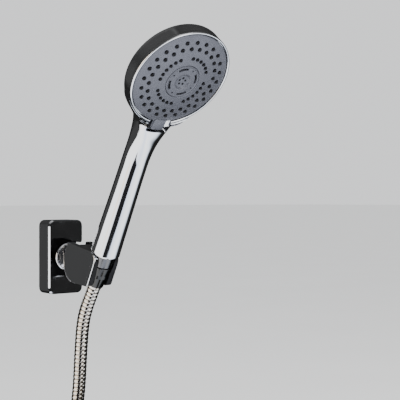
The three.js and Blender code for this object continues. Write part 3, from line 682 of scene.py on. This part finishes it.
def smooth_rows(heights):
    """The handle's stations at any heights, on smooth curves through them."""
    known = HANDLE_STATIONS[:, 0]
    values = HANDLE_STATIONS[:, 1:]
    slopes = np.gradient(values, known, axis=0)
    row = np.clip(np.searchsorted(known, heights) - 1, 0, len(known) - 2)
    span = (known[row + 1] - known[row])[:, None]
    t = np.clip((heights - known[row])[:, None] / span, 0, 1)
    low, high = values[row], values[row + 1]
    sway = (t ** 3 - 2 * t ** 2 + t) * span * slopes[row] + (t ** 3 - t ** 2) * span * slopes[row + 1]
    return (2 * t ** 3 - 3 * t ** 2 + 1) * low + (3 * t ** 2 - 2 * t ** 3) * high + sway


def handle_distance(points):
    """How far points of the handset's frame lie outside the handle, near its surface."""
    heights = np.clip(points[:, 2], HANDLE_LOW, HANDLE_HIGH)
    forward, side, depth, square = smooth_rows(heights).T
    across = np.abs(points[:, 0] / side)
    outward = np.abs((points[:, 1] + forward) / depth)
    reach = (across ** square + outward ** square + 1e-12) ** (1 / square)
    around = (reach - 1) * np.minimum(side, depth)
    ends = np.maximum(HANDLE_LOW - points[:, 2], points[:, 2] - HANDLE_HIGH)
    return -smooth_least(-around, -ends, 1.2)


def head_distance(points):
    """How far points of the handset's frame lie outside the head's back, near its surface."""
    local = points - np.array(HEAD_IN_HANDSET)
    cosine, sine = math.cos(HEAD_TURN), math.sin(HEAD_TURN)
    y = cosine * local[:, 1] + sine * local[:, 2]
    height = -sine * local[:, 1] + cosine * local[:, 2]
    radius = np.hypot(local[:, 0], y)
    full, side = HEAD_SHELL["radius"], HEAD_SHELL["side"]
    dome = np.clip(-side - height, 0, None) / (HEAD_SHELL["back"] - side)
    around = ((radius / full) ** 2.5 + dome ** 2) ** 0.45 - 1
    scale = np.where(dome > 0.5, HEAD_SHELL["back"] - side + 0.5 * full * (1 - dome), full)
    return np.maximum(around * np.clip(scale, 10, full), height - 5)


def smooth_least(first, second, width):
    share = np.clip(0.5 + 0.5 * (second - first) / width, 0, 1)
    return second + (first - second) * share - width * share * (1 - share)


def shell_distance(points):
    return smooth_least(handle_distance(points), head_distance(points), NECK_FILLET)


def settle(points, distance, rounds=4):
    """Moves points straight onto the surface where the distance is zero."""
    step = 0.02
    for _ in range(rounds):
        value = distance(points)
        slope = np.stack([
            (distance(points + offset) - distance(points - offset)) / (2 * step)
            for offset in np.eye(3) * step
        ], axis=1)
        size = np.maximum((slope ** 2).sum(axis=1), 1e-3)
        move = slope * (value / size)[:, None]
        points = points - np.clip(move, -1.5, 1.5)
    return points


def shell_surface():
    """Handle and head back in one, with a smooth fillet where they meet."""
    heights = np.linspace(HANDLE_LOW, HANDLE_HIGH, 60)
    rows = smooth_rows(heights)
    points = []
    sides = 48
    for height, (forward, side, depth, _) in zip(heights, rows):
        for k in range(sides):
            angle = 2 * math.pi * k / sides
            points.append((side * math.cos(angle), depth * math.sin(angle) - forward, height))
    faces = end_faces(len(heights), sides) + ring_faces(len(heights), sides)
    handle = make_mesh("handset_body", points, faces)
    radius, side = HEAD_SHELL["radius"], HEAD_SHELL["side"]
    profile = [(0, 4), (radius, 4)]
    for i in range(17):
        angle = 0.5 * math.pi * i / 16
        height = -side - (HEAD_SHELL["back"] - side) * math.sin(angle)
        profile.append((radius * max(math.cos(angle), 0) ** 0.8, height))
    dome = turned("head_back", profile, HANDSET.inverted() @ HEAD, closed=False)
    combine(handle, "UNION", [dome])
    remesh = handle.modifiers.new("remesh", "REMESH")
    remesh.mode = "VOXEL"
    remesh.voxel_size = 1.1 * MM
    evaluated(handle)
    mesh = handle.data
    count = len(mesh.vertices)
    spots = np.empty(3 * count)
    mesh.vertices.foreach_get("co", spots)
    spots = spots.reshape(-1, 3) / MM
    ends = np.empty(2 * len(mesh.edges), int)
    mesh.edges.foreach_get("vertices", ends)
    ends = ends.reshape(-1, 2)
    neighbours = np.bincount(ends.ravel(), minlength=count)[:, None]
    for _ in range(4):
        spots = settle(spots, shell_distance)
        total = np.zeros_like(spots)
        np.add.at(total, ends[:, 0], spots[ends[:, 1]])
        np.add.at(total, ends[:, 1], spots[ends[:, 0]])
        spots = 0.4 * spots + 0.6 * total / neighbours
    spots = settle(spots, shell_distance)
    mesh.vertices.foreach_set("co", (spots * MM).ravel())
    mesh.update()
    mesh.transform(HANDSET)
    return handle


def recess_outline(end, corner=0):
    """Outline of the gap for the tab, as seen from the front of the head."""
    half_width, root = RECESS["half_width"], RECESS["root"]
    return rounded([
        (-half_width, -end, corner),
        (half_width, -end, corner),
        (half_width, -root),
        (-half_width, -root),
    ])


def handset_shell(materials):
    body = shell_surface()
    radius, wall = HEAD_SHELL["radius"], HEAD_SHELL["wall"]
    over_rim = rod("over_rim", RIM["outer"] + GAP, HEAD_SHELL["front"], BEYOND, HEAD, 160)
    hollow = rod("hollow", radius - wall, HEAD_SHELL["floor"], 10, HEAD, 128, 6)
    outline = recess_outline(RECESS["end"], RECESS["corner"])
    recess = prism("recess", outline, RECESS["floor"], BEYOND, HEAD)
    carve(body, over_rim, hollow, recess, sharp_degrees=40)
    return finish_piece(body, materials["chrome"], "chrome", "handset", "handset_shell")


def collar(materials):
    piece = turned("inlet_collar", rounded([
        (SPIGOT["bore"], SPIGOT["end"]),
        (SPIGOT["radius"], SPIGOT["end"], 0.6),
        (SPIGOT["radius"], -COLLAR["length"]),
        (COLLAR["radius"], -COLLAR["length"], 0.6),
        (COLLAR["radius"], -0.4, 0.2),
        (PLUG["radius"], 0),
        (PLUG["radius"], PLUG["length"]),
        (PLUG["bore"], PLUG["length"]),
        (PLUG["bore"], PLUG["floor"]),
        (SPIGOT["bore"], PLUG["floor"]),
    ]), HANDSET)
    # The collar wears the darker copy of the chrome: painted shade from the jaws round it
    return finish_piece(piece, materials["collar_chrome_painted_shade"], "chrome", "handset", "inlet_connector")


def cone_nut(materials):
    bore = FERRULE["radius"] + GAP
    seat = FERRULE["shoulder"] + GAP
    piece = turned("cone_nut_shape", rounded([
        (bore, NUT["bottom"], 0.3),
        (NUT["bottom_radius"], NUT["bottom"], 0.7),
        (NUT["top_radius"], NUT["top"], 1),
        (NUT["bore"], NUT["top"], 0.3),
        (NUT["bore"], seat),
        (bore, seat),
    ]), HANDSET)
    # The nut wears the near-black copy of the chrome: painted shade from the jaws round it
    return finish_piece(piece, materials["nut_chrome_painted_shade"], "chrome", "hose_nut", "cone_nut")


def sleeve(materials):
    piece = turned("hose_sleeve", rounded([
        (FERRULE["bore"], FERRULE["top"]),
        (FERRULE["flange"], FERRULE["top"]),
        (FERRULE["flange"], FERRULE["shoulder"] + 2 * GAP),
        (FERRULE["radius"], FERRULE["shoulder"] + 2 * GAP),
        (FERRULE["radius"], FERRULE["end"], 0.6),
        (FERRULE["bore"], FERRULE["end"]),
    ]), HANDSET, 64)
    return finish_piece(piece, materials["hose_metal"], "hose_metal", "handset", "hose_ferrule")


def rim(materials):
    piece = turned("bright_rim", rounded([
        (RIM["inner"], RIM["back"]),
        (RIM["outer"], RIM["back"], 0.2),
        (RIM["outer"], RIM["front"], 1),
        (RIM["inner"], RIM["front"], 0.9),
    ]), HEAD, 192)
    carve(piece, prism("gap", recess_outline(RECESS["end"] + 10), -BEYOND, BEYOND, HEAD))
    return finish_piece(piece, materials["chrome"], "chrome", "handset", "rim_ring")


def crown_at(radius):
    return FACE["crown"] * (1 - (radius / FACE["radius"]) ** 2)


def domed_plate(name, inner, outer, depth, thickness, edge=0.0):
    count = 16
    radii = [inner + (outer - inner) * i / count for i in range(count + 1)]
    top = [(radius, crown_at(radius) - depth) for radius in radii]
    bottom = [(radius, crown_at(radius) - depth - thickness) for radius in reversed(radii)]
    top[0] = (inner, crown_at(inner) - depth, edge)
    top[-1] = (outer, crown_at(outer) - depth, edge)
    return turned(name, rounded(top + bottom), HEAD, 128)


def face_plate(materials):
    plate = domed_plate("spray_plate", INSERT["radius"] + GAP, FACE["radius"], 0, FACE["thickness"], 0.5)
    holes = []
    for radius, tip, angles in NOZZLE_RINGS:
        level = crown_at(radius)
        below, above = level - 4, level + 2
        wide = tip + GAP
        flared = wide + NOZZLE["flare"]
        profile = [(0, below), (wide, below), (wide, level - 0.5)]
        profile += [(flared, level + 0.1), (flared, above), (0, above)]
        for angle in angles:
            holes.append(turned("hole", profile, HEAD @ spun(radius, angle), 24, closed=False))
    carve(plate, gather("holes", holes), sharp_degrees=25)
    tab_path = rounded([
        (-TAB["half_width"], -TAB["end"], TAB["corner"]),
        (TAB["half_width"], -TAB["end"], TAB["corner"]),
        (TAB["half_width"], -TAB["root"]),
        (-TAB["half_width"], -TAB["root"]),
    ], steps=6)
    tab = prism("tab", tab_path, TAB["bottom"], TAB["top"], HEAD, 0.6)
    piece = gather("spray_plate_and_tab", [plate, tab])
    return finish_piece(piece, materials["spray_face"], "spray_face", "spray_face", "face_plate")


def nozzle_tip(radius, tip, angle, level):
    """A tapered rubber tip with a rounded lip and a fine bore."""
    root = level - FACE["thickness"] - 1
    top = level + NOZZLE["height"]
    bore, bore_end = NOZZLE["bore"] * tip, top - NOZZLE["bore_depth"]
    profile = rounded([
        (0, root),
        (tip, root),
        (tip, level),
        (NOZZLE["taper"] * tip, top, 0.3),
        (bore, top, 0.15),
        (bore, bore_end),
        (0, bore_end),
    ], closed=False, steps=3)
    return turned("tip", profile, HEAD @ spun(radius, angle), 20, closed=False, sharp_degrees=50)


def nozzle_mat(materials):
    tips = [domed_plate("mat", MAT["inner"], MAT["outer"], FACE["thickness"] + GAP, MAT["thickness"])]
    for radius, tip, angles in NOZZLE_RINGS:
        tips += [nozzle_tip(radius, tip, angle, crown_at(radius)) for angle in angles]
    piece = gather("rubber_nozzles", tips)
    return finish_piece(piece, materials["rubber"], "rubber", "spray_face", "nozzle_mat")


def jet_insert(materials):
    outer, half, ring = INSERT["radius"], INSERT["slot_half"], INSERT["slot_ring"]
    middle = crown_at(0)
    dish = middle - INSERT["dish"]
    back, under_dish = 1.9, middle - 4.2
    profile = [(0, under_dish), (5, under_dish), (8.5, back), (outer, back)]
    profile += [(outer, crown_at(outer), 0.5), (outer - 0.9, crown_at(outer - 0.9) + 0.35, 0.5)]
    profile += [(radius, crown_at(radius), 0.5) for radius in (outer - 1.8, 15.6, ring, 12, 10)]
    profile += [(8.2, crown_at(8.2), 0.8), (6.6, dish, 0.8), (0, dish)]
    piece = turned("centre_insert", rounded(profile, closed=False, steps=3), HEAD, 128, closed=False)
    tools = []
    for angle in even_angles(4, 20):
        start, end = angle - INSERT["slot_arc"] / 2, angle + INSERT["slot_arc"] / 2
        path = arc_points((0, 0), ring + half, start, end, 16)
        path += arc_points((0, 0), ring - half, end, start, 16)
        tools.append(prism("slot", path, 0, 8, HEAD))
    for angle in even_angles(4, 65):
        tools.append(rod("dot", INSERT["dot"], 0, 8, HEAD @ spun(ring, angle), 20))
    for angle in JET_ANGLES:
        tools.append(rod("jet", JET["radius"], -3, 8, HEAD @ spun(JET["ring"], angle), 20))
    carve(piece, gather("openings", tools))
    return finish_piece(piece, materials["spray_face"], "spray_face", "spray_face", "jet_insert")


def centre_jets(materials):
    """Black rubber bushes in the five centre openings."""
    foot, bore_end = 0.6, 1.6
    top = crown_at(0) - INSERT["dish"] - 0.5
    wide, bore = JET["bush"], JET["bore"]
    profile = [(0, foot), (wide, foot), (wide, top, 0.3), (bore, top, 0.1), (bore, bore_end), (0, bore_end)]
    profile = rounded(profile, closed=False, steps=3)
    bushes = []
    for angle in JET_ANGLES:
        bushes.append(turned("bush", profile, HEAD @ spun(JET["ring"], angle), 20, closed=False))
    piece = gather("centre_bushes", bushes)
    piece.data.materials.append(materials["rubber"])
    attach(piece, "spray_face")


# ---- Wall holder -----------------------------------------

def wall_cover(materials):
    half_width, half_height = PLATE["width"] / 2, PLATE["height"] / 2
    depth, wall, edge = PLATE["depth"], PLATE["wall"], PLATE["edge"]
    left, top, floor = -POCKET["half_width"], POCKET["half_height"], POCKET["floor"]
    outline = rectangle(half_width, half_height, PLATE["corner"], 10)
    cover = prism("wall_cover", outline, -6, depth, OUT_OF_WALL, edge, 1, 20)
    behind = prism("behind", rectangle(60, 60, 0), -20, 0, OUT_OF_WALL)
    inner = rectangle(half_width - wall, half_height - wall, PLATE["corner"] - 2)
    inside = prism("inside", inner, -10, depth - wall, OUT_OF_WALL)
    box_path = rectangle(half_width, top + wall, 1)
    carve(inside, prism("pocket_box", box_path, floor - wall, depth, OUT_OF_WALL))
    pocket_path = rounded([
        (left, -top, POCKET["corner"]),
        (half_width + 1, -top),
        (half_width + 1, top + 3),
        POCKET["lip"],
        (-3, top),
        (left, top, POCKET["corner"]),
    ], steps=8)
    pocket = prism("pocket", pocket_path, floor, depth + 5, OUT_OF_WALL)
    stem = rod("stem", BOSS["stem"] + 2 * GAP, 0, depth, OUT_OF_WALL, 96)
    carve(cover, behind, inside, pocket, stem, sharp_degrees=20)
    finish_piece(cover, materials["dark_chrome"], "dark_chrome", "wall_bracket", "bracket_cover")
    # The pocket's floor and walls take the near-black material: painted shade in the recess
    cover.data.materials.append(materials["painted_shade"])
    for face in cover.data.polygons:
        x, y, z = face.center / MM
        if left - 0.1 < x < half_width - edge and floor - 0.1 < -y < depth - 0.1 and abs(z) < top + 0.1:
            face.material_index = 1
    return cover


def boss(materials):
    front, half = BOSS["front"], TONGUE["half_width"]
    collar_profile = rounded([
        (0, BOSS["back"]),
        (BOSS["stem"], BOSS["back"]),
        (BOSS["stem"], BOSS["shoulder"]),
        (BOSS["radius"], BOSS["shoulder"], 0.5),
        (BOSS["radius"], front, BOSS["rim"]),
        (0, front),
    ], closed=False, steps=8)
    piece = turned("swivel_collar", collar_profile, OUT_OF_WALL, 128, closed=False)
    tongue_path = [
        (PIVOT["y"], PIVOT["z"] - TONGUE["round"]),
        (-front + 2, TONGUE["low"]),
        (-front + 2, TONGUE["high"]),
        (PIVOT["y"], PIVOT["z"] + TONGUE["round"]),
    ]
    tongue = prism("tongue", tongue_path, -half, half, SLAB)
    eye = rod("eye", TONGUE["round"], -half, half, AT_PIVOT @ ALONG_X, 64)
    combine(piece, "UNION", [tongue, eye])
    carve(piece, rod("pin_hole", PIVOT["pin"] + GAP, -20, 20, AT_PIVOT @ ALONG_X, 32))
    return finish_piece(piece, materials["dark_chrome"], "dark_chrome", "wall_bracket", "swivel_boss")


def holder_tools():
    """What is cut out of the holder: the nut's seat with its mouth, the tongue's slot and the pin's hole."""
    low, high = -75, 30
    wide, narrow = NUT["top_radius"] + HOLDER["clear"], NUT["bottom_radius"] + HOLDER["clear"]
    seat_profile = [(0, high), (wide, high), (wide, NUT["top"])]
    seat_profile += [(narrow, NUT["bottom"]), (narrow, low), (0, low)]
    seat = turned("seat", seat_profile, HANDSET, 128, closed=False)
    mouth, slot_half = HOLDER["mouth"], HOLDER["slot"]
    mouth_path = [(-mouth, -BEYOND), (mouth, -BEYOND), (mouth, 0), (-mouth, 0)]
    combine(seat, "UNION", [prism("mouth", mouth_path, low, high, HANDSET)])
    eye = rod("slot_eye", TONGUE["round"] + 1, -slot_half, slot_half, AT_PIVOT @ ALONG_X, 96)
    behind = PIVOT["y"] + BEYOND
    slot_path = [(PIVOT["y"], -BEYOND), (behind, -BEYOND), (behind, BEYOND), (PIVOT["y"], BEYOND)]
    slot = prism("slot", slot_path, -slot_half, slot_half, SLAB)
    combine(slot, "UNION", [eye])
    pin_hole = rod("pin_hole", PIVOT["pin"] + GAP, PIVOT["pin_start"], 20, AT_PIVOT @ ALONG_X, 32)
    head_hole = rod("head_hole", PIVOT["head"] + GAP, PIVOT["head_start"] - GAP, 20, AT_PIVOT @ ALONG_X, 32)
    return [seat, slot, pin_hole, head_hole]


def paint_jaw_shade(piece, shade_material):
    """Gives the faces in the seat and its mouth painted shade, and the fronts of the jaws a painted dark
    reflection, with the near-black material.
    """
    piece.data.materials.append(shade_material)
    to_handset = HANDSET.inverted()
    front_faces = Vector((0, -0.872, -0.49))
    for face in piece.data.polygons:
        spot = to_handset @ face.center / MM
        facing = to_handset.to_3x3() @ face.normal
        reach = math.hypot(spot.x, spot.y)
        inward = -(spot.x * facing.x + spot.y * facing.y) > 0.5 * reach
        in_bore = reach < NUT["top_radius"] + HOLDER["clear"] + 0.3 and inward
        in_mouth = abs(spot.x) < HOLDER["mouth"] + 0.5 and spot.y < 0 and abs(facing.x) > 0.5
        on_front = face.normal.dot(front_faces) > 0.94
        # Seat and mouth take painted shade, the jaws' fronts a painted dark reflection
        if in_bore or in_mouth or on_front:
            face.material_index = 1


def holder(materials):
    half, back = HOLDER["half_width"], HOLDER["back"]
    path = [HOLDER_TOP, *bend(*HOLDER_NOSE, 12), *bend(*HOLDER_FOOT, 5)]
    path.append((PIVOT["y"], PIVOT["z"] - back - 0.8))
    path += arc_points((PIVOT["y"], PIVOT["z"]), back, -86, 38, 40)
    piece = prism("holder_body", path, -half, half, SLAB, HOLDER["edge"], 3, 30)
    carve(piece, *holder_tools())
    soften_edges(piece, 0.45)
    finish_piece(piece, materials["chrome"], "chrome", "holder", "holder_fork")
    paint_jaw_shade(piece, materials["painted_shade"])


# ---- Light and floor -------------------------------------

# What polished metal mirrors, by compass direction and height. Both run from 0 to 1: the first all
# the way round from straight left, past the camera's side, the right and the wall; the second from
# straight down to straight up
FLOOR_LIGHT = [
    (0.0, 1.0), (0.215, (0.72, 0.78, 0.90)), (0.36, (0.96, 0.98, 1.0)), (0.43, (0.80, 0.86, 0.95)),
    (0.465, (0.10, 0.11, 0.12)), (0.485, 0.008), (0.86, 0.008), (0.885, 1.0), (1.0, 1.0),
]
WALLS = [
    (0.0, 0.010), (0.47, 0.010), (0.60, 0.008), (0.77, 0.010), (0.80, 0.028), (0.875, 0.028), (0.90, 0.012),
]
UPPER_WALLS = [(0.0, 0.012), (0.3, 0.02), (0.5, 0.012), (0.9, 0.02), (1.0, 0.012)]
CEILING = [
    (0.0, 0.03), (0.15, 0.20), (0.38, 0.28), (0.47, 0.03),
    (0.6, 0.02), (0.8, 0.05), (0.92, 0.03), (1.0, 0.03),
]
WHITE = (1.0, 1.0, 1.0)
WARM = (1.0, 0.88, 0.74)
DARK = (0.009, 0.009, 0.010)
# Windows and a dark post that stand before the walls, each over the ones before it: the span round
# the compass and the span of heights, each with the softness of its ends, and the colour
PATCHES = [
    ((0.886, 0.962, 0.003), (0.24, 0.455, 0.004), WHITE),
    ((0.955, 1.0, 0.003), (0.24, 0.455, 0.004), WHITE),
    ((0.0, 0.062, 0.004), (0.24, 0.70, 0.004), WARM),
    ((0.917, 1.0, 0.004), (0.44, 0.70, 0.004), WARM),
    ((0.222, 0.305, 0.004), (0.24, 0.70, 0.004), WHITE),
    ((0.072, 0.196, 0.012), (0.098, 0.6, 0.008), DARK),
    ((0.068, 0.094, 0.004), (0.41, 0.525, 0.004), WHITE),
]


class Sky(Nodes):
    """The nodes of the world."""

    def calculate(self, operation, first, second=0.0):
        return self.add("ShaderNodeMath", {0: first, 1: second}, operation=operation).outputs[0]

    def ramp(self, value, stops):
        """A colour or grey for each stop along a value, and a smooth passage between them."""
        node = self.add("ShaderNodeValToRGB", {"Fac": value})
        elements = node.color_ramp.elements
        elements[0].position = stops[0][0]
        elements[1].position = stops[-1][0]
        for position, _ in stops[1:-1]:
            elements.new(position)
        for element, (_, colour) in zip(elements, stops):
            element.color = (*colour, 1) if isinstance(colour, tuple) else (colour, colour, colour, 1)
        return node.outputs["Color"]

    def band(self, value, low, high, soft):
        """One between two values of a coordinate, and nothing outside them."""
        fade_in = [(low - soft, 0.0)] if low > 0 else []
        fade_out = [(high + soft, 0.0)] if high < 1 else []
        return self.ramp(value, [*fade_in, (low, 1.0), (high, 1.0), *fade_out])

    def light(self, colour, strength):
        return self.add("ShaderNodeBackground", {"Color": colour, "Strength": strength}).outputs[0]


def mirrored_room(sky):
    """A dim room over a bright floor, with a soft ceiling light and its windows."""
    direction = sky.add("ShaderNodeTexCoord", {}).outputs["Generated"]
    x, y, z = sky.add("ShaderNodeSeparateXYZ", {0: direction}).outputs
    azimuth = sky.calculate("ARCTAN2", y, x)
    around = sky.calculate("ADD", sky.calculate("DIVIDE", azimuth, 2 * math.pi), 0.5)
    height = sky.calculate("ADD", sky.calculate("MULTIPLY", z, 0.5), 0.5)
    up_the_walls = sky.ramp(height, [(0.58, 0.0), (0.66, 1.0)])
    overhead = sky.ramp(height, [(0.70, 0.0), (0.86, 1.0)])
    underfoot = sky.ramp(height, [(0.262, 1.0), (0.28, 0.0)])
    room = sky.mixed(up_the_walls, sky.ramp(around, WALLS), sky.ramp(around, UPPER_WALLS))
    room = sky.mixed(overhead, room, sky.ramp(around, CEILING))
    room = sky.mixed(underfoot, room, sky.ramp(around, FLOOR_LIGHT))
    for span, heights, colour in PATCHES:
        where = sky.calculate("MULTIPLY", sky.band(around, *span), sky.band(height, *heights))
        room = sky.mixed(where, room, colour)
    return room


def make_world():
    """A pale studio backdrop. Polished metal mirrors the dim room instead."""
    world = bpy.data.worlds.new("studio")
    bpy.context.scene.world = world
    world.use_nodes = True
    sky = Sky(world.node_tree)
    sky.tree.nodes.clear()
    backdrop = sky.light((0.80, 0.81, 0.82), 1.35)
    room = sky.light(mirrored_room(sky), 2.4)
    mirrored = sky.add("ShaderNodeLightPath", {}).outputs["Is Glossy Ray"]
    mix = sky.add("ShaderNodeMixShader", {"Fac": mirrored, 1: backdrop, 2: room})
    sky.add("ShaderNodeOutputWorld", {"Surface": mix.outputs[0]})


def make_light(name, place, target, size, power):
    """A soft square light, in metres and watts, that metal doesn't mirror."""
    data = bpy.data.lights.new(name, "AREA")
    data.size = size
    data.energy = power
    light = new_object(name, data)
    light.location = place
    light.rotation_euler = (Vector(target) - Vector(place)).to_track_quat("-Z", "Y").to_euler()
    light.visible_glossy = False
    light.visible_camera = False


def make_stage():
    size = 60000
    corners = [(-size, -size), (size, -size), (size, size), (-size, size)]
    floor = make_mesh("floor", [(x, y, FLOOR_Z) for x, y in corners], [(0, 1, 2, 3)])
    paper = Surface("paper", Metallic=0.0, Roughness=0.8)
    paper.colour(paper.noise(3, 3), (0.93, 0.93, 0.925), (0.95, 0.95, 0.945))
    floor.data.materials.append(paper.material)
    floor.visible_glossy = False
    make_light("key", (-0.9, -1.2, 1.3), (0, -0.1, 0), 0.9, 26)
    make_light("fill", (1.3, -1.2, 0.6), (0, -0.1, 0), 1.2, 10)
    make_light("under", (-0.3, -1.1, -0.3), (0, -0.15, 0.1), 0.8, 6)


# ---- Everything together ---------------------------------

make_camera()
materials = make_materials()
for subpart in frame["record"]["subparts"]:
    node = frame["nodes"][subpart["node"]]
    name = "hose_metal" if subpart["material_slot"] == "hose_core" else subpart["material_slot"]
    node.data.materials.clear()
    node.data.materials.append(materials[name])

hose_piece, hose_path = hose(materials)
end_pieces = hose_end(materials)
strap = hose_strap(materials)

handset_shell(materials)
collar(materials)
cone_nut(materials)
sleeve(materials)
rim(materials)
face_plate(materials)
nozzle_mat(materials)
jet_insert(materials)
centre_jets(materials)
wall_cover(materials)
boss(materials)
holder(materials)

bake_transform(hose_piece)

make_world()
make_stage()
